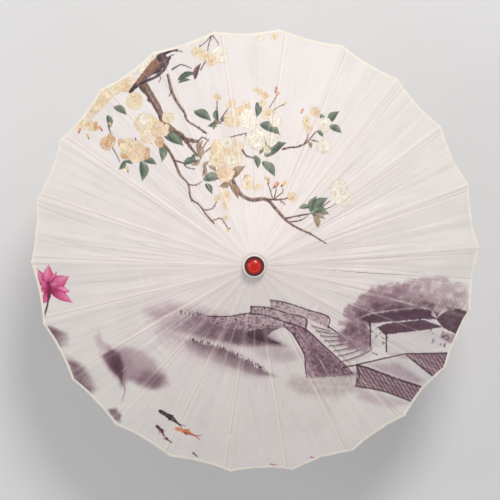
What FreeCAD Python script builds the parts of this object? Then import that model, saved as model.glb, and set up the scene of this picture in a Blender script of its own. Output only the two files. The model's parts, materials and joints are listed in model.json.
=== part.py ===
import FreeCAD, Part
import math
import os

from FreeCAD import Vector

# Oil paper umbrella, open, standing on the end of its handle.
# Millimetres, +Z up, shaft on the Z axis, origin at the bottom centre of the handle.
# Rib 01 points along +X and the others follow counter-clockwise.

# Frame geometry. Rib hinge to stretcher pivot and the stretcher itself have one length, so
# each rib and its stretcher fold as the two equal sides of a triangle on the shaft.
rib_count = 22
canopy_radius = 410.0
open_slope = 20.0
pivot_radius = 14.0
link_length = 190.0
notch_pivot_z = 520.0
runner_pivot_z = notch_pivot_z - 2 * link_length * math.sin(math.radians(open_slope))

# Shaft and handle
shaft_radius = 6.0
shaft_bottom_z = 20.0
shaft_top_z = 532.0
handle_radius = 11.5
handle_bottom_z = 6.0
handle_shoulder_z = 78.0
handle_top_z = 92.0
handle_neck_radius = 8.0
handle_groove_depth = 0.8
handle_grooves_z = (70.0, 74.0)
cap_edge_radius = 1.5
cap_spigot_radius = 4.5
cap_spigot_top_z = 18.0

# Top notch: a core with a slotted flange that the rib ends hinge in
core_radius = 11.2
slot_floor_radius = 11.3
slot_width = 2.1
notch_bottom_z = 506.0
notch_top_z = shaft_top_z
notch_flange_radius = 18.3
notch_flange_bottom_z = 514.0
notch_flange_top_z = 523.0
notch_pin_radius = 1.0
notch_pin_z = 510.0
notch_pin_length = 22.0

# Runner: the same slotted flange, with a sleeve below it for the hand
runner_bore_radius = 6.3
runner_flange_radius = 17.5
runner_flange_half = 6.0
runner_sleeve_radius = 10.8
runner_sleeve_length = 38.0
runner_groove_depth = 0.7
runner_groove_spacing = 6.0
runner_groove_count = 4

# Thread that ties all the rib ends into the notch, and all the stretcher ends into the runner
thread_radius = 0.55
thread_hole_radius = 0.75

# Rib, in its own frame: x from the hinge to the tip, z out through the paper
eye_radius = 2.2
tongue_width = 1.8
rib_tongue_length = 8.0
rib_underside = 0.8
rib_face = 4.8
rib_width_at_tongue = 3.9
rib_width = 5.0
rib_full_width_at = 160.0
rib_tip_underside = 2.6
rib_tip_inset = 1.5
rib_tip_width = 3.6
rib_tip_length = 12.0
lug_radius = 3.2
lug_width = 4.4
lug_half_length = 11.0
lug_flank = 0.5
lug_slot_width = 2.2
lug_slot_behind = 6.0
lug_slot_ahead = 22.0
lug_slot_ceiling = 3.0
rib_pin_radius = 0.6
rib_pin_length = 4.2

# Stretcher, in its own frame: x from the runner to the rib
stretcher_width = 3.3
stretcher_half_thickness = 2.0
stretcher_runner_tongue = 30.0
stretcher_rib_tongue = 24.0

# Canopy and the binding around its rim
paper_gap = 0.4
paper_thickness = 0.6
canopy_hole_radius = 16.5
binding_width = 7.0
binding_thickness = 0.4
binding_overhang = 1.2
binding_drop = 1.3

# Crown: cup, bead and the screw through both
cup_foot_radius = 17.8
cup_foot_z = 525.8
cup_waist_radius = 19.0
cup_waist_z = 531.0
cup_lip_radius = 20.0
cup_lip_z = 538.4
cup_wall = 1.8
cup_seat_radius = 13.3
cup_floor_bottom_z = shaft_top_z
cup_floor_top_z = 534.5
bead_radius = 15.5
bead_foot_radius = 12.0
bead_underside_radius = 14.6
bead_widest_z = 539.0
bead_shoulder_radius = 13.3
bead_shoulder_z = 543.95
bead_top_z = 548.0
bead_flat_radius = 4.0
screw_radius = 1.8
screw_bottom_z = 512.0
screw_top_z = 543.0

# Spring catch in a slot of the shaft, just under the open runner
catch_angle = 180.0 / rib_count
catch_gap = 0.3
catch_top_z = runner_pivot_z - runner_flange_half - runner_sleeve_length - catch_gap
catch_pin_z = catch_top_z - 44.0
catch_pin_radius = 0.9
catch_hole_radius = 1.1
catch_eye_radius = 2.4
catch_width = 2.0
catch_slot_width = 2.4
catch_slot_depth = 4.0
catch_slot_margin = 4.0
catch_nose_radius = 8.8
catch_nose_height = 3.0
catch_back_radius = 2.0

# Room that a cutting tool keeps beyond the faces it cuts
cut_margin = 20.0

slope_tangent = math.tan(math.radians(open_slope))
slope_cosine = math.cos(math.radians(open_slope))
slope_sine = math.sin(math.radians(open_slope))
rib_length = (canopy_radius - rib_tip_inset - pivot_radius - rib_face * slope_sine) / slope_cosine


def save(shape, name):
    """Write one node."""
    shape.exportStep("parts/" + name + ".step")


def cylinder(radius, bottom_z, top_z):
    """A round bar on the shaft's axis."""
    return Part.makeCylinder(radius, top_z - bottom_z, Vector(0, 0, bottom_z))


def cross_cylinder(radius, length, x, z):
    """A round bar or hole along Y, centred on y = 0."""
    return Part.makeCylinder(radius, length, Vector(x, -length / 2, z), Vector(0, 1, 0))


def centred_box(x_from, x_to, width, z_from, z_to):
    """A box between two x and two z values, centred on y = 0."""
    return Part.makeBox(x_to - x_from, width, z_to - z_from, Vector(x_from, -width / 2, z_from))


def side_plate(points, width):
    """A plate whose outline in x and z is given, centred on y = 0."""
    outline = [Vector(x, -width / 2, z) for x, z in points]
    face = Part.Face(Part.makePolygon(outline + outline[:1]))
    return face.extrude(Vector(0, width, 0))


def turned(points):
    """A solid of revolution about Z from an outline in radius and height."""
    outline = [Vector(r, 0, z) for r, z in points]
    face = Part.Face(Part.makePolygon(outline + outline[:1]))
    return face.revolve(Vector(0, 0, 0), Vector(0, 0, 1), 360)


def rib_angles():
    """The ribs' directions in degrees, counter-clockwise from +X."""
    return [index * 360.0 / rib_count for index in range(rib_count)]


def around(shape, angle):
    """A copy of the shape turned about the shaft."""
    copy = shape.copy()
    copy.rotate(Vector(0, 0, 0), Vector(0, 0, 1), angle)
    return copy


def ring_groove(body_radius, depth, z):
    """A rounded groove around a turned piece."""
    return Part.makeTorus(body_radius + depth, 2 * depth, Vector(0, 0, z))


def slotted(flange, outer_radius, bottom_z, top_z):
    """Cut one slot per rib, open above, below and outwards."""
    slots = []
    for angle in rib_angles():
        slot = centred_box(slot_floor_radius, outer_radius + cut_margin, slot_width,
                           bottom_z - cut_margin, top_z + cut_margin)
        slots.append(around(slot, angle))
    return flange.cut(slots)


def make_shaft():
    pole = cylinder(shaft_radius, shaft_bottom_z, shaft_top_z)
    screw_hole = cylinder(screw_radius, screw_bottom_z, shaft_top_z)
    pin_hole = cross_cylinder(notch_pin_radius, 4 * shaft_radius, 0, notch_pin_z)
    catch_slot = centred_box(-catch_slot_depth, 2 * shaft_radius, catch_slot_width,
                             catch_pin_z - catch_slot_margin, catch_top_z + catch_slot_margin)
    catch_hole = cross_cylinder(catch_pin_radius, 4 * shaft_radius, 0, catch_pin_z)
    return pole.cut([screw_hole, pin_hole, around(catch_slot, catch_angle),
                     around(catch_hole, catch_angle)])


def make_handle():
    grip = turned([(0, handle_bottom_z), (handle_radius, handle_bottom_z),
                   (handle_radius, handle_shoulder_z), (handle_neck_radius, handle_top_z),
                   (0, handle_top_z)])
    shaft_bore = cylinder(shaft_radius, shaft_bottom_z, handle_top_z)
    spigot_bore = cylinder(cap_spigot_radius, handle_bottom_z, shaft_bottom_z)
    grooves = [ring_groove(handle_radius, handle_groove_depth, z) for z in handle_grooves_z]
    return grip.cut([shaft_bore, spigot_bore] + grooves)


def make_handle_cap():
    disc = cylinder(handle_radius, 0, handle_bottom_z)
    rims = [edge for edge in disc.Edges if abs(edge.BoundBox.ZMax) < 0.01]
    spigot = cylinder(cap_spigot_radius, handle_bottom_z, cap_spigot_top_z)
    return disc.makeFillet(cap_edge_radius, rims).fuse(spigot).removeSplitter()


def make_top_notch():
    core = cylinder(core_radius, notch_bottom_z, notch_top_z)
    flange = cylinder(notch_flange_radius, notch_flange_bottom_z, notch_flange_top_z)
    flange = slotted(flange, notch_flange_radius, notch_flange_bottom_z, notch_flange_top_z)
    thread_bore = Part.makeTorus(pivot_radius, thread_hole_radius, Vector(0, 0, notch_pivot_z))
    shaft_bore = cylinder(shaft_radius, notch_bottom_z, notch_top_z)
    pin_hole = cross_cylinder(notch_pin_radius, 4 * core_radius, 0, notch_pin_z)
    return core.fuse(flange).cut([thread_bore, shaft_bore, pin_hole])


def make_thread(z):
    """The ring of thread through every rib or stretcher eye at one height."""
    return Part.makeTorus(pivot_radius, thread_radius, Vector(0, 0, z))


def make_runner():
    flange_bottom_z = runner_pivot_z - runner_flange_half
    flange_top_z = runner_pivot_z + runner_flange_half
    sleeve_bottom_z = flange_bottom_z - runner_sleeve_length
    core = cylinder(core_radius, flange_bottom_z, flange_top_z)
    flange = cylinder(runner_flange_radius, flange_bottom_z, flange_top_z)
    flange = slotted(flange, runner_flange_radius, flange_bottom_z, flange_top_z)
    sleeve = cylinder(runner_sleeve_radius, sleeve_bottom_z, flange_bottom_z)
    cuts = [Part.makeTorus(pivot_radius, thread_hole_radius, Vector(0, 0, runner_pivot_z)),
            cylinder(runner_bore_radius, sleeve_bottom_z, flange_top_z)]
    for index in range(runner_groove_count):
        groove_z = sleeve_bottom_z + runner_groove_spacing * (index + 1)
        cuts.append(ring_groove(runner_sleeve_radius, runner_groove_depth, groove_z))
    return core.fuse([flange, sleeve]).cut(cuts)


def catch_outline():
    """Side view of the catch: a leaf that widens upwards to a nose with a flat top."""
    return [(-catch_back_radius, catch_pin_z), (catch_back_radius, catch_pin_z),
            (catch_nose_radius, catch_top_z - catch_nose_height),
            (catch_nose_radius, catch_top_z), (catch_back_radius, catch_top_z)]


def make_catch_spring():
    leaf = side_plate(catch_outline(), catch_width)
    eye = cross_cylinder(catch_eye_radius, catch_width, 0, catch_pin_z)
    hole = cross_cylinder(catch_hole_radius, 2 * catch_width, 0, catch_pin_z)
    return around(leaf.fuse(eye).cut(hole).removeSplitter(), catch_angle)


def make_catch_pin():
    pin = cross_cylinder(catch_pin_radius, 2 * shaft_radius - 1, 0, catch_pin_z)
    return around(pin, catch_angle)


def canopy_height(radius, lift):
    """Height of the paper's upper side above a rib, raised by lift along Z."""
    inner_rise = (rib_face + paper_gap) / slope_cosine
    return notch_pivot_z + inner_rise + paper_thickness - (radius - pivot_radius) * slope_tangent + lift


def rib_polygon(vertex_radius, z):
    """A closed wire with a corner at each rib."""
    corners = []
    for angle in rib_angles():
        turn = math.radians(angle)
        corners.append(Vector(vertex_radius * math.cos(turn), vertex_radius * math.sin(turn), z))
    return Part.makePolygon(corners + corners[:1])


def pyramid(vertex_radius, lift, floor_z):
    """Everything under the many-sided paper roof, within a vertex radius and above a floor."""
    top_radius = canopy_hole_radius / 2
    eave_z = canopy_height(vertex_radius, lift)
    eave = rib_polygon(vertex_radius, eave_z)
    peak = rib_polygon(top_radius, canopy_height(top_radius, lift))
    roof = Part.makeLoft([eave, peak], True, True)
    skirt = Part.Face(rib_polygon(vertex_radius, floor_z)).extrude(Vector(0, 0, eave_z - floor_z))
    return roof.fuse(skirt).removeSplitter()


def make_canopy():
    floor_z = canopy_height(canopy_radius, -cut_margin)
    roof = pyramid(canopy_radius, 0, floor_z)
    room = pyramid(canopy_radius + cut_margin, -paper_thickness, floor_z - cut_margin)
    hole = cylinder(canopy_hole_radius, floor_z, bead_top_z)
    return roof.cut([room, hole])


def make_rim_binding():
    edge_z = canopy_height(canopy_radius, 0)
    wrap = pyramid(canopy_radius + binding_overhang, binding_thickness, edge_z - binding_drop)
    paper = pyramid(canopy_radius, 0, edge_z - cut_margin)
    middle = Part.Face(rib_polygon(canopy_radius - binding_width, edge_z - cut_margin))
    return wrap.cut([paper, middle.extrude(Vector(0, 0, bead_top_z - edge_z + cut_margin))])


def make_crown_cup():
    return turned([(screw_radius, cup_floor_bottom_z), (cup_seat_radius, cup_floor_bottom_z),
                   (cup_foot_radius - cup_wall, cup_foot_z), (cup_foot_radius, cup_foot_z),
                   (cup_waist_radius, cup_waist_z), (cup_lip_radius, cup_lip_z),
                   (cup_lip_radius - cup_wall, cup_lip_z),
                   (cup_waist_radius - cup_wall, cup_floor_top_z), (screw_radius, cup_floor_top_z)])


def make_finial_bead():
    start = Vector(0, 0, cup_floor_top_z)
    foot = Vector(bead_foot_radius, 0, cup_floor_top_z)
    widest = Vector(bead_radius, 0, bead_widest_z)
    shoulder = Vector(bead_shoulder_radius, 0, bead_shoulder_z)
    flat = Vector(bead_flat_radius, 0, bead_top_z)
    top = Vector(0, 0, bead_top_z)
    below = Vector(bead_underside_radius, 0, (cup_floor_top_z + bead_widest_z) / 2)
    edges = [Part.LineSegment(start, foot), Part.Arc(foot, below, widest),
             Part.Arc(widest, shoulder, flat), Part.LineSegment(flat, top), Part.LineSegment(top, start)]
    face = Part.Face(Part.Wire([edge.toShape() for edge in edges]))
    bead = face.revolve(Vector(0, 0, 0), Vector(0, 0, 1), 360)
    return bead.cut(cylinder(screw_radius, cup_floor_bottom_z, screw_top_z))


def make_rib():
    """One rib in its own frame, and its pivot pin as a second solid."""
    plan = [(rib_tongue_length, rib_width_at_tongue / 2), (rib_full_width_at, rib_width / 2),
            (rib_length - rib_tip_length, rib_width / 2), (rib_length, rib_tip_width / 2)]
    outline = [Vector(x, y, 0) for x, y in plan]
    outline += [Vector(x, -y, 0) for x, y in reversed(plan)]
    strip = Part.Face(Part.makePolygon(outline + outline[:1])).extrude(Vector(0, 0, rib_face))
    full_depth_to = link_length + lug_slot_ahead + lug_half_length
    side = side_plate([(0, rib_underside), (full_depth_to, rib_underside),
                       (rib_length, rib_tip_underside), (rib_length, rib_face), (0, rib_face)],
                      2 * rib_width)
    strip = strip.common(side)
    root_x = rib_tongue_length + tongue_width
    tongue = side_plate([(0, -eye_radius), (rib_tongue_length, rib_underside), (root_x, rib_underside),
                         (root_x, rib_face), (rib_tongue_length, rib_face), (0, eye_radius)], tongue_width)
    eye = cross_cylinder(eye_radius, tongue_width, 0, 0)
    flank_z = rib_underside + lug_flank
    lug = side_plate([(link_length - lug_radius, 0), (link_length - lug_half_length, flank_z),
                      (link_length + lug_half_length, flank_z), (link_length + lug_radius, 0)], lug_width)
    lug_round = cross_cylinder(lug_radius, lug_width, link_length, 0)
    rib = strip.fuse([tongue, eye, lug, lug_round])
    slot = centred_box(link_length - lug_slot_behind, link_length + lug_slot_ahead, lug_slot_width,
                       -2 * lug_radius, lug_slot_ceiling)
    thread_hole = cross_cylinder(thread_hole_radius, 4 * rib_width, 0, 0)
    pin_hole = cross_cylinder(rib_pin_radius, 4 * rib_width, link_length, 0)
    rib = rib.cut([slot, thread_hole, pin_hole]).removeSplitter()
    pin = cross_cylinder(rib_pin_radius, rib_pin_length, link_length, 0)
    return Part.makeCompound([rib.Solids[0], pin])


def make_stretcher():
    """One stretcher in its own frame, narrowed to a tongue with an eye at each end."""
    bar = centred_box(stretcher_runner_tongue, link_length - stretcher_rib_tongue, stretcher_width,
                      -stretcher_half_thickness, stretcher_half_thickness)
    tongue = centred_box(0, link_length, tongue_width, -stretcher_half_thickness, stretcher_half_thickness)
    eyes = [cross_cylinder(eye_radius, tongue_width, x, 0) for x in (0, link_length)]
    holes = [cross_cylinder(thread_hole_radius, 4 * stretcher_width, x, 0) for x in (0, link_length)]
    return bar.fuse([tongue] + eyes).cut(holes).removeSplitter()


def placed(shape, slope, pivot_z, angle):
    """A copy tilted down by slope, hung on the pivot circle at a height, and turned about Z."""
    copy = shape.copy()
    copy.rotate(Vector(0, 0, 0), Vector(0, 1, 0), slope)
    copy.translate(Vector(pivot_radius, 0, pivot_z))
    return around(copy, angle)


def main():
    os.makedirs("parts", exist_ok=True)
    save(make_shaft(), "shaft")
    save(make_handle(), "handle")
    save(make_handle_cap(), "handle_cap")
    save(make_top_notch(), "top_notch")
    save(make_thread(notch_pivot_z), "notch_thread")
    save(cross_cylinder(notch_pin_radius, notch_pin_length, 0, notch_pin_z), "notch_pin")
    save(make_canopy(), "canopy")
    save(make_rim_binding(), "rim_binding")
    save(make_crown_cup(), "crown_cup")
    save(make_finial_bead(), "finial_bead")
    save(cylinder(screw_radius, screw_bottom_z, screw_top_z), "finial_screw")
    save(make_runner(), "runner")
    save(make_thread(runner_pivot_z), "runner_thread")
    save(make_catch_spring(), "catch_spring")
    save(make_catch_pin(), "catch_pin")
    rib = make_rib()
    stretcher = make_stretcher()
    for index, angle in enumerate(rib_angles()):
        number = "%02d" % (index + 1)
        save(placed(rib, open_slope, notch_pivot_z, angle), "rib_" + number)
        save(placed(stretcher, -open_slope, runner_pivot_z, angle), "stretcher_" + number)


main()
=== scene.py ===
# %% [markdown]
# # An oil paper umbrella
# A hand-made parasol is a pole, a slotted hub at its top, a second slotted hub that slides, and
# two rings of split bamboo between them. Paper is pasted over the outer ring and printed. This
# lesson builds the paper, its binding, the crown and every finish around a frame that is already
# made: the frame's bamboo and wood stay where they are, and nothing here moves them.

import json
import math

import bmesh
import bpy
import numpy as np
from mathutils import Matrix, Vector

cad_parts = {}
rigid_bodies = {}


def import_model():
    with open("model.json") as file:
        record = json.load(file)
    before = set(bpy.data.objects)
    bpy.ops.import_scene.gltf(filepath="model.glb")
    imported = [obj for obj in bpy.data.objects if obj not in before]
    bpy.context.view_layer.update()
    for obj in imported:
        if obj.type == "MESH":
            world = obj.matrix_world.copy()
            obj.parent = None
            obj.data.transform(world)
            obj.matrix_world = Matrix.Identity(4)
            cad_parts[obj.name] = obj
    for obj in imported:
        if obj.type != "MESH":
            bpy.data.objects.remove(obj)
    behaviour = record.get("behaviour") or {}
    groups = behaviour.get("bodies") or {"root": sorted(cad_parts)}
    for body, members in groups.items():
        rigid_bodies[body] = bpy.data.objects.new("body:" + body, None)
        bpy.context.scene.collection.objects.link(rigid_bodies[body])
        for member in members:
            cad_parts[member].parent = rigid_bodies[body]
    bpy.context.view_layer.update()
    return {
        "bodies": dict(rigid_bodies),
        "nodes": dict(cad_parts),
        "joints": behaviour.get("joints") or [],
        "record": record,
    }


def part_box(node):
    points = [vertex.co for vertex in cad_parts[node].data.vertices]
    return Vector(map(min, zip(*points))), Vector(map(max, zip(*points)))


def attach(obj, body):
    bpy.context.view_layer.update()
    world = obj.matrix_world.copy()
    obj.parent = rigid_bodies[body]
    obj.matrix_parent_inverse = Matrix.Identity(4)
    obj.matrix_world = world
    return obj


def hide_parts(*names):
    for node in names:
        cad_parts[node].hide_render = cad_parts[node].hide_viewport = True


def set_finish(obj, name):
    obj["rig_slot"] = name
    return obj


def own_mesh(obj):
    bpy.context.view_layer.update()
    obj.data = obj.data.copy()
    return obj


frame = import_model()

# %% [markdown]
# ## Measuring the frame
# Everything that follows is worked out from the frame's own hinges: where a rib turns, how
# steeply it slopes, how far its tip is from the pole. A piece that is measured this way fits
# with no adjusting.

# %% Read the ribs' geometry
MM = 0.001
hinges = {joint["name"]: joint for joint in frame["joints"]}
rib_names = sorted(name for name in frame["bodies"] if name.startswith("rib_"))
rib_count = len(rib_names)
rib_hinge = Vector(hinges["rib_01_fold"]["pos_m"])
rib_pivot = Vector(hinges["stretcher_01_fold"]["pos_m"])
slope = math.atan2(rib_hinge.z - rib_pivot.z, rib_pivot.x - rib_hinge.x)
half_panel = math.pi / rib_count
canopy_low, canopy_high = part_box("canopy")
rim_radius = canopy_high.x
rib_reach = (rim_radius - rib_hinge.x - 4.8 * MM * math.sin(slope)) / math.cos(slope)
hub_reach = 0.8 * MM
print(f"{rib_count} ribs, slope {math.degrees(slope):.1f} degrees, paper {rib_reach:.3f} m long")


def rib_turn(number):
    """Direction of a rib round the pole, counted from 0."""
    return 2 * math.pi * number / rib_count


def smooth(low, high, value):
    """0 below low, 1 above high, and an even curve in between."""
    share = np.clip((value - low) / (high - low), 0, 1)
    return share * share * (3 - 2 * share)


# %% [markdown]
# ## Unevenness
# Paper, ink and bamboo are never even. A lattice of random numbers, read with smooth steps in
# between, gives soft cloudy values. The seeds are fixed, so each run gives the same umbrella.

# %% A cloud of soft random values
LATTICE = 64


def cloud(across, along, seed, layers=1):
    """Soft random values from -1 to 1, one for each pair of coordinates."""
    total = np.zeros(np.broadcast(across, along).shape)
    strength = 0.0
    for layer in range(layers):
        table = np.random.default_rng(seed + 101 * layer).uniform(-1, 1, (LATTICE, LATTICE))
        a = across * 2**layer + 17.3 * layer
        b = along * 2**layer + 5.9 * layer
        ia, ib = np.floor(a).astype(int), np.floor(b).astype(int)
        fa, fb = a - ia, b - ib
        fa, fb = fa * fa * (3 - 2 * fa), fb * fb * (3 - 2 * fb)
        corner = [[table[(ia + i) % LATTICE, (ib + j) % LATTICE] for j in (0, 1)] for i in (0, 1)]
        low_side = corner[0][0] * (1 - fb) + corner[0][1] * fb
        high_side = corner[1][0] * (1 - fb) + corner[1][1] * fb
        total = total + (low_side * (1 - fa) + high_side * fa) / 2**layer
        strength += 1 / 2**layer
    return total / strength


# %% [markdown]
# ## The shape of the paper
# Between two ribs the paper is a flat, tight triangle, but it isn't a dead one. It stands up in
# a low ridge where it passes over each rib. It keeps the fold it takes in the middle of each
# panel when the umbrella closes, and it is gathered into fine pleats at the hub. At the rim it
# pulls in a little between the tips. One function gives all of this for any point, so the pieces
# that use it meet without gaps.

# %% Paper over the ribs
paper_lift = 4.75 * MM
ridge_height = 0.45 * MM
ridge_width = 3.4 * MM
fold_depth = 1.6 * MM
gathered_length = 0.075
ridge_foot = 3.5e-3
panel_rng = np.random.default_rng(7)
rim_dip = panel_rng.uniform(3.6, 6.0, rib_count) * MM
fold_share = panel_rng.uniform(0.5, 1.25, rib_count)


def paper_relief(panel, across, along):
    """How far the paper stands out of its flat triangle."""
    radius = rib_hinge.x + along * math.cos(slope)
    chord = 2 * radius * math.sin(half_panel)
    from_rib = np.minimum(across, 1 - across) * chord
    middle = 1 - np.abs(2 * across - 1)
    share = along / rib_reach
    ridge = ridge_height * np.exp(-(from_rib / ridge_width) ** 4)
    fold = -fold_depth * fold_share[panel % rib_count] * share * middle**1.25
    near_hub = np.exp(-along / gathered_length)
    away = 1 - np.exp(-(from_rib / ridge_foot) ** 4)
    pleats = 0.35 * MM * near_hub * (0.5 - 0.5 * np.cos(6 * math.pi * across))
    slack = smooth(0.02, 0.2, along) * away
    long_waves = 1.9 * MM * slack * middle * cloud(across * 4 + 3 * panel, along * 5, 11)
    fine_waves = 0.75 * MM * slack * cloud(across * 11 + 7 * panel, along * 9, 23, 2)
    drift = across * 3.2 + 5 * panel + 2.5 * along
    sharp = (1 - np.abs(cloud(drift, along * 4.5, 29))) ** 9
    creases = -1.0 * MM * slack * sharp * smooth(-0.2, 0.3, cloud(drift * 0.7, along * 7, 43))
    crossing = np.exp(-((across - 0.5) / 0.22) ** 2) * smooth(0.22, 0.3, share) * smooth(0.75, 0.55, share)
    laddered = smooth(0.0, 0.5, cloud(panel * 1.7 + 0 * along, along * 6, 37))
    rungs = 1.3 * MM * crossing * laddered * cloud(across * 1.5 + panel, along * 105, 31)
    return ridge + fold + pleats + long_waves + fine_waves + creases + rungs


def paper_point(panel, across, along, lift=0.0):
    """A point of the paper: across 0 to 1 from rib to rib, along in metres down the slope."""
    first, second = rib_turn(panel), rib_turn(panel + 1)
    radius = rib_hinge.x + along * math.cos(slope) + paper_lift * math.sin(slope)
    height = rib_hinge.z - along * math.sin(slope) + paper_lift * math.cos(slope)
    x = radius * (math.cos(first) * (1 - across) + math.cos(second) * across)
    y = radius * (math.sin(first) * (1 - across) + math.sin(second) * across)
    turn = rib_turn(panel + across)
    stand = paper_relief(panel, across, along) + lift
    outward = math.sin(slope) * stand
    upward = math.cos(slope) * stand
    return np.stack([x + outward * np.cos(turn), y + outward * np.sin(turn), height + upward], axis=-1)


def rim_along(panel, across):
    """Where the paper ends: a tight edge that dips between two rib tips."""
    return rib_reach - rim_dip[panel % rib_count] * 4 * across * (1 - across)


def strip_half(along):
    """Half the width of the paper that is pasted on a rib's face."""
    return (1.7 + 0.9 * smooth(-0.02, 0.16, along)) * MM


def strip_share(along):
    """The same half width as a share of the panel."""
    return strip_half(along) / (2 * (rib_hinge.x + along * math.cos(slope)) * math.sin(half_panel))


# %% [markdown]
# ## Making a mesh from a grid of points
# Every sheet here is a grid, so one helper turns rows of points into faces. It takes a whole
# array at once, which is many times faster than adding vertices one by one.

# %% Grids to meshes
def grid_faces(rows, columns, closed=False):
    """Corner numbers of the faces between the points of a grid."""
    last = columns if closed else columns - 1
    r, c = np.meshgrid(np.arange(rows - 1), np.arange(last), indexing="ij")
    right = (c + 1) % columns
    return np.stack([r * columns + c, r * columns + right,
                     (r + 1) * columns + right, (r + 1) * columns + c], axis=-1).reshape(-1, 4)


def mesh_object(name, points, faces, flip=False):
    """A mesh from an array of points and an array of four-cornered faces."""
    faces = faces[:, ::-1] if flip else faces
    mesh = bpy.data.meshes.new(name)
    mesh.vertices.add(len(points))
    mesh.vertices.foreach_set("co", np.asarray(points, np.float32).ravel())
    mesh.loops.add(faces.size)
    mesh.loops.foreach_set("vertex_index", np.asarray(faces, np.int32).ravel())
    mesh.polygons.add(len(faces))
    mesh.polygons.foreach_set("loop_start", np.arange(0, faces.size, 4, dtype=np.int32))
    mesh.update(calc_edges=True)
    mesh.polygons.foreach_set("use_smooth", np.ones(len(faces), bool))
    piece = bpy.data.objects.new(name, mesh)
    bpy.context.scene.collection.objects.link(piece)
    return piece


# %% [markdown]
# ## Cutting the paper into pieces that can fold
# The real paper is one sheet. To fold, it is cut here along its own creases: a narrow strip that
# is pasted to each rib, and half a panel on either side of it. Each piece goes with its rib. The
# halves meet at the fold in the middle of the panel.

# %% Strips on the ribs and half panels beside them
ROWS = 300
COLUMNS = 38
STRIP_COLUMNS = 7
spacing = np.linspace(0, 1, ROWS)[:, None]


def beside_rib(rib, side, step, on_strip):
    """Where points lie on the panel at one side of a rib: steps 0 to 1 cross the strip or the rest."""
    panel = rib if side > 0 else rib - 1
    along = hub_reach + spacing * (rib_reach - hub_reach) + 0 * step
    for _ in range(3):
        edge = strip_share(along)
        share = edge * step if on_strip else edge + (0.5 - edge) * step
        across = share if side > 0 else 1 - share
        along = hub_reach + spacing * (rim_along(panel, across) - hub_reach)
    return panel, across, along


def strip_points(rib):
    """Points of the strip on a rib: one half lies on each of the two panels."""
    step = np.linspace(0, 1, STRIP_COLUMNS // 2 + 1)[None, :]
    after = paper_point(*beside_rib(rib, 1, step, True))
    before = paper_point(*beside_rib(rib, -1, step, True))
    return np.concatenate([before[:, :0:-1], after], axis=1)


strips, halves = [], []
for rib, body in enumerate(rib_names):
    points = strip_points(rib)
    strip = mesh_object("paper_on_" + body, points.reshape(-1, 3), grid_faces(ROWS, STRIP_COLUMNS), flip=True)
    strips.append(strip)
    for side in (1, -1):
        points = paper_point(*beside_rib(rib, side, np.linspace(0, 1, COLUMNS)[None, :], False))
        name = "paper_%s_%s" % ("after" if side > 0 else "before", body)
        half = mesh_object(name, points.reshape(-1, 3), grid_faces(ROWS, COLUMNS), flip=side > 0)
        halves.append((half, rib, side))
print(len(strips), "strips and", len(halves), "half panels")

# %% [markdown]
# ## Painting on paper
# The picture is printed on the flat sheet before it is pasted on, so it is seen in plan. Each
# point of the paper gets a colour here, from brush strokes, petals, leaves and washes that are
# laid one over another, as a painter would. Sizes are in millimetres on the umbrella seen from
# above, with the first rib to the right.

# %% The sheet that is painted
paper_pieces = strips + [half for half, _, _ in halves]
plan = []
for piece in paper_pieces:
    points = np.zeros(len(piece.data.vertices) * 3, np.float32)
    piece.data.vertices.foreach_get("co", points)
    plan.append(points.reshape(-1, 3)[:, :2].astype(float) / MM)
counts = [len(part) for part in plan]
plan = np.concatenate(plan)
picture_turn = math.radians(1.9)
plan = np.stack([plan[:, 0] * math.cos(picture_turn) - plan[:, 1] * math.sin(picture_turn),
                 plan[:, 0] * math.sin(picture_turn) + plan[:, 1] * math.cos(picture_turn)], axis=-1)
on_strip = np.arange(len(plan)) < sum(counts[:len(strips)])
reach = np.hypot(plan[:, 0], plan[:, 1])

paper_colour = np.array([0.935, 0.898, 0.886])
tint = np.tile(paper_colour, (len(plan), 1))
mottle = cloud(plan[:, 0] / 45 + 20, plan[:, 1] / 45 + 20, 41, 3)
tint *= (1 + 0.022 * mottle)[:, None]
faded = 0.75 * smooth(150, 400, reach)[:, None]
tint = tint * (1 - faded) + tint * np.array([0.985, 1.002, 0.998]) * faded
print(len(plan), "points to paint")

# %% [markdown]
# A tile index keeps the painting quick. Each motif only looks at the points close to it, and
# not at the half million of the whole sheet.

# %% Find the points near a motif
TILE = 20.0
TILES = 64
SHEET_CORNER = 500
FAINTEST = 0.004
tile_of = np.floor((plan + SHEET_CORNER) / TILE).astype(int)
tile_key = tile_of[:, 0] * TILES + tile_of[:, 1]
tile_order = np.argsort(tile_key, kind="stable")
tile_starts = np.searchsorted(tile_key[tile_order], np.arange(TILES * TILES + 1))


def near(low, high):
    """Numbers of the points between two corners, from whole tiles."""
    a = np.clip(np.floor((np.array(low) + SHEET_CORNER) / TILE).astype(int), 0, TILES - 1)
    b = np.clip(np.floor((np.array(high) + SHEET_CORNER) / TILE).astype(int), 0, TILES - 1)
    found = []
    for column in range(a[0], b[0] + 1):
        first = tile_starts[column * TILES + a[1]]
        past_last = tile_starts[column * TILES + b[1] + 1]
        found.append(tile_order[first:past_last])
    return np.concatenate(found)


def lay(points, cover, colour):
    """Lay a colour over points, with its cover from 0 to 1. On the rib strips the cover is cut, a painted
    highlight on the ridges.
    """
    cover = np.clip(cover, 0, 1) * np.where(on_strip[points], 0.82, 1.0)
    tint[points] = tint[points] * (1 - cover[:, None]) + np.asarray(colour) * cover[:, None]


def lay_seen(points, cover, colours):
    """Lay one colour, or one for each point, wherever the cover is enough to be seen."""
    seen = cover > FAINTEST
    colours = np.broadcast_to(np.asarray(colours, float), (len(points), 3))
    lay(points[seen], cover[seen], colours[seen])


def grain(points, size, seed, layers=2):
    """Uneven ink, from -1 to 1."""
    return cloud(plan[points, 0] / size + 31, plan[points, 1] / size + 31, seed, layers)


# %% [markdown]
# ### Brush strokes
# A stroke follows a smooth line through a few points, with a width that changes on the way. Its
# edge is soft over half a millimetre, and the ink in it is streaky.

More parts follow.
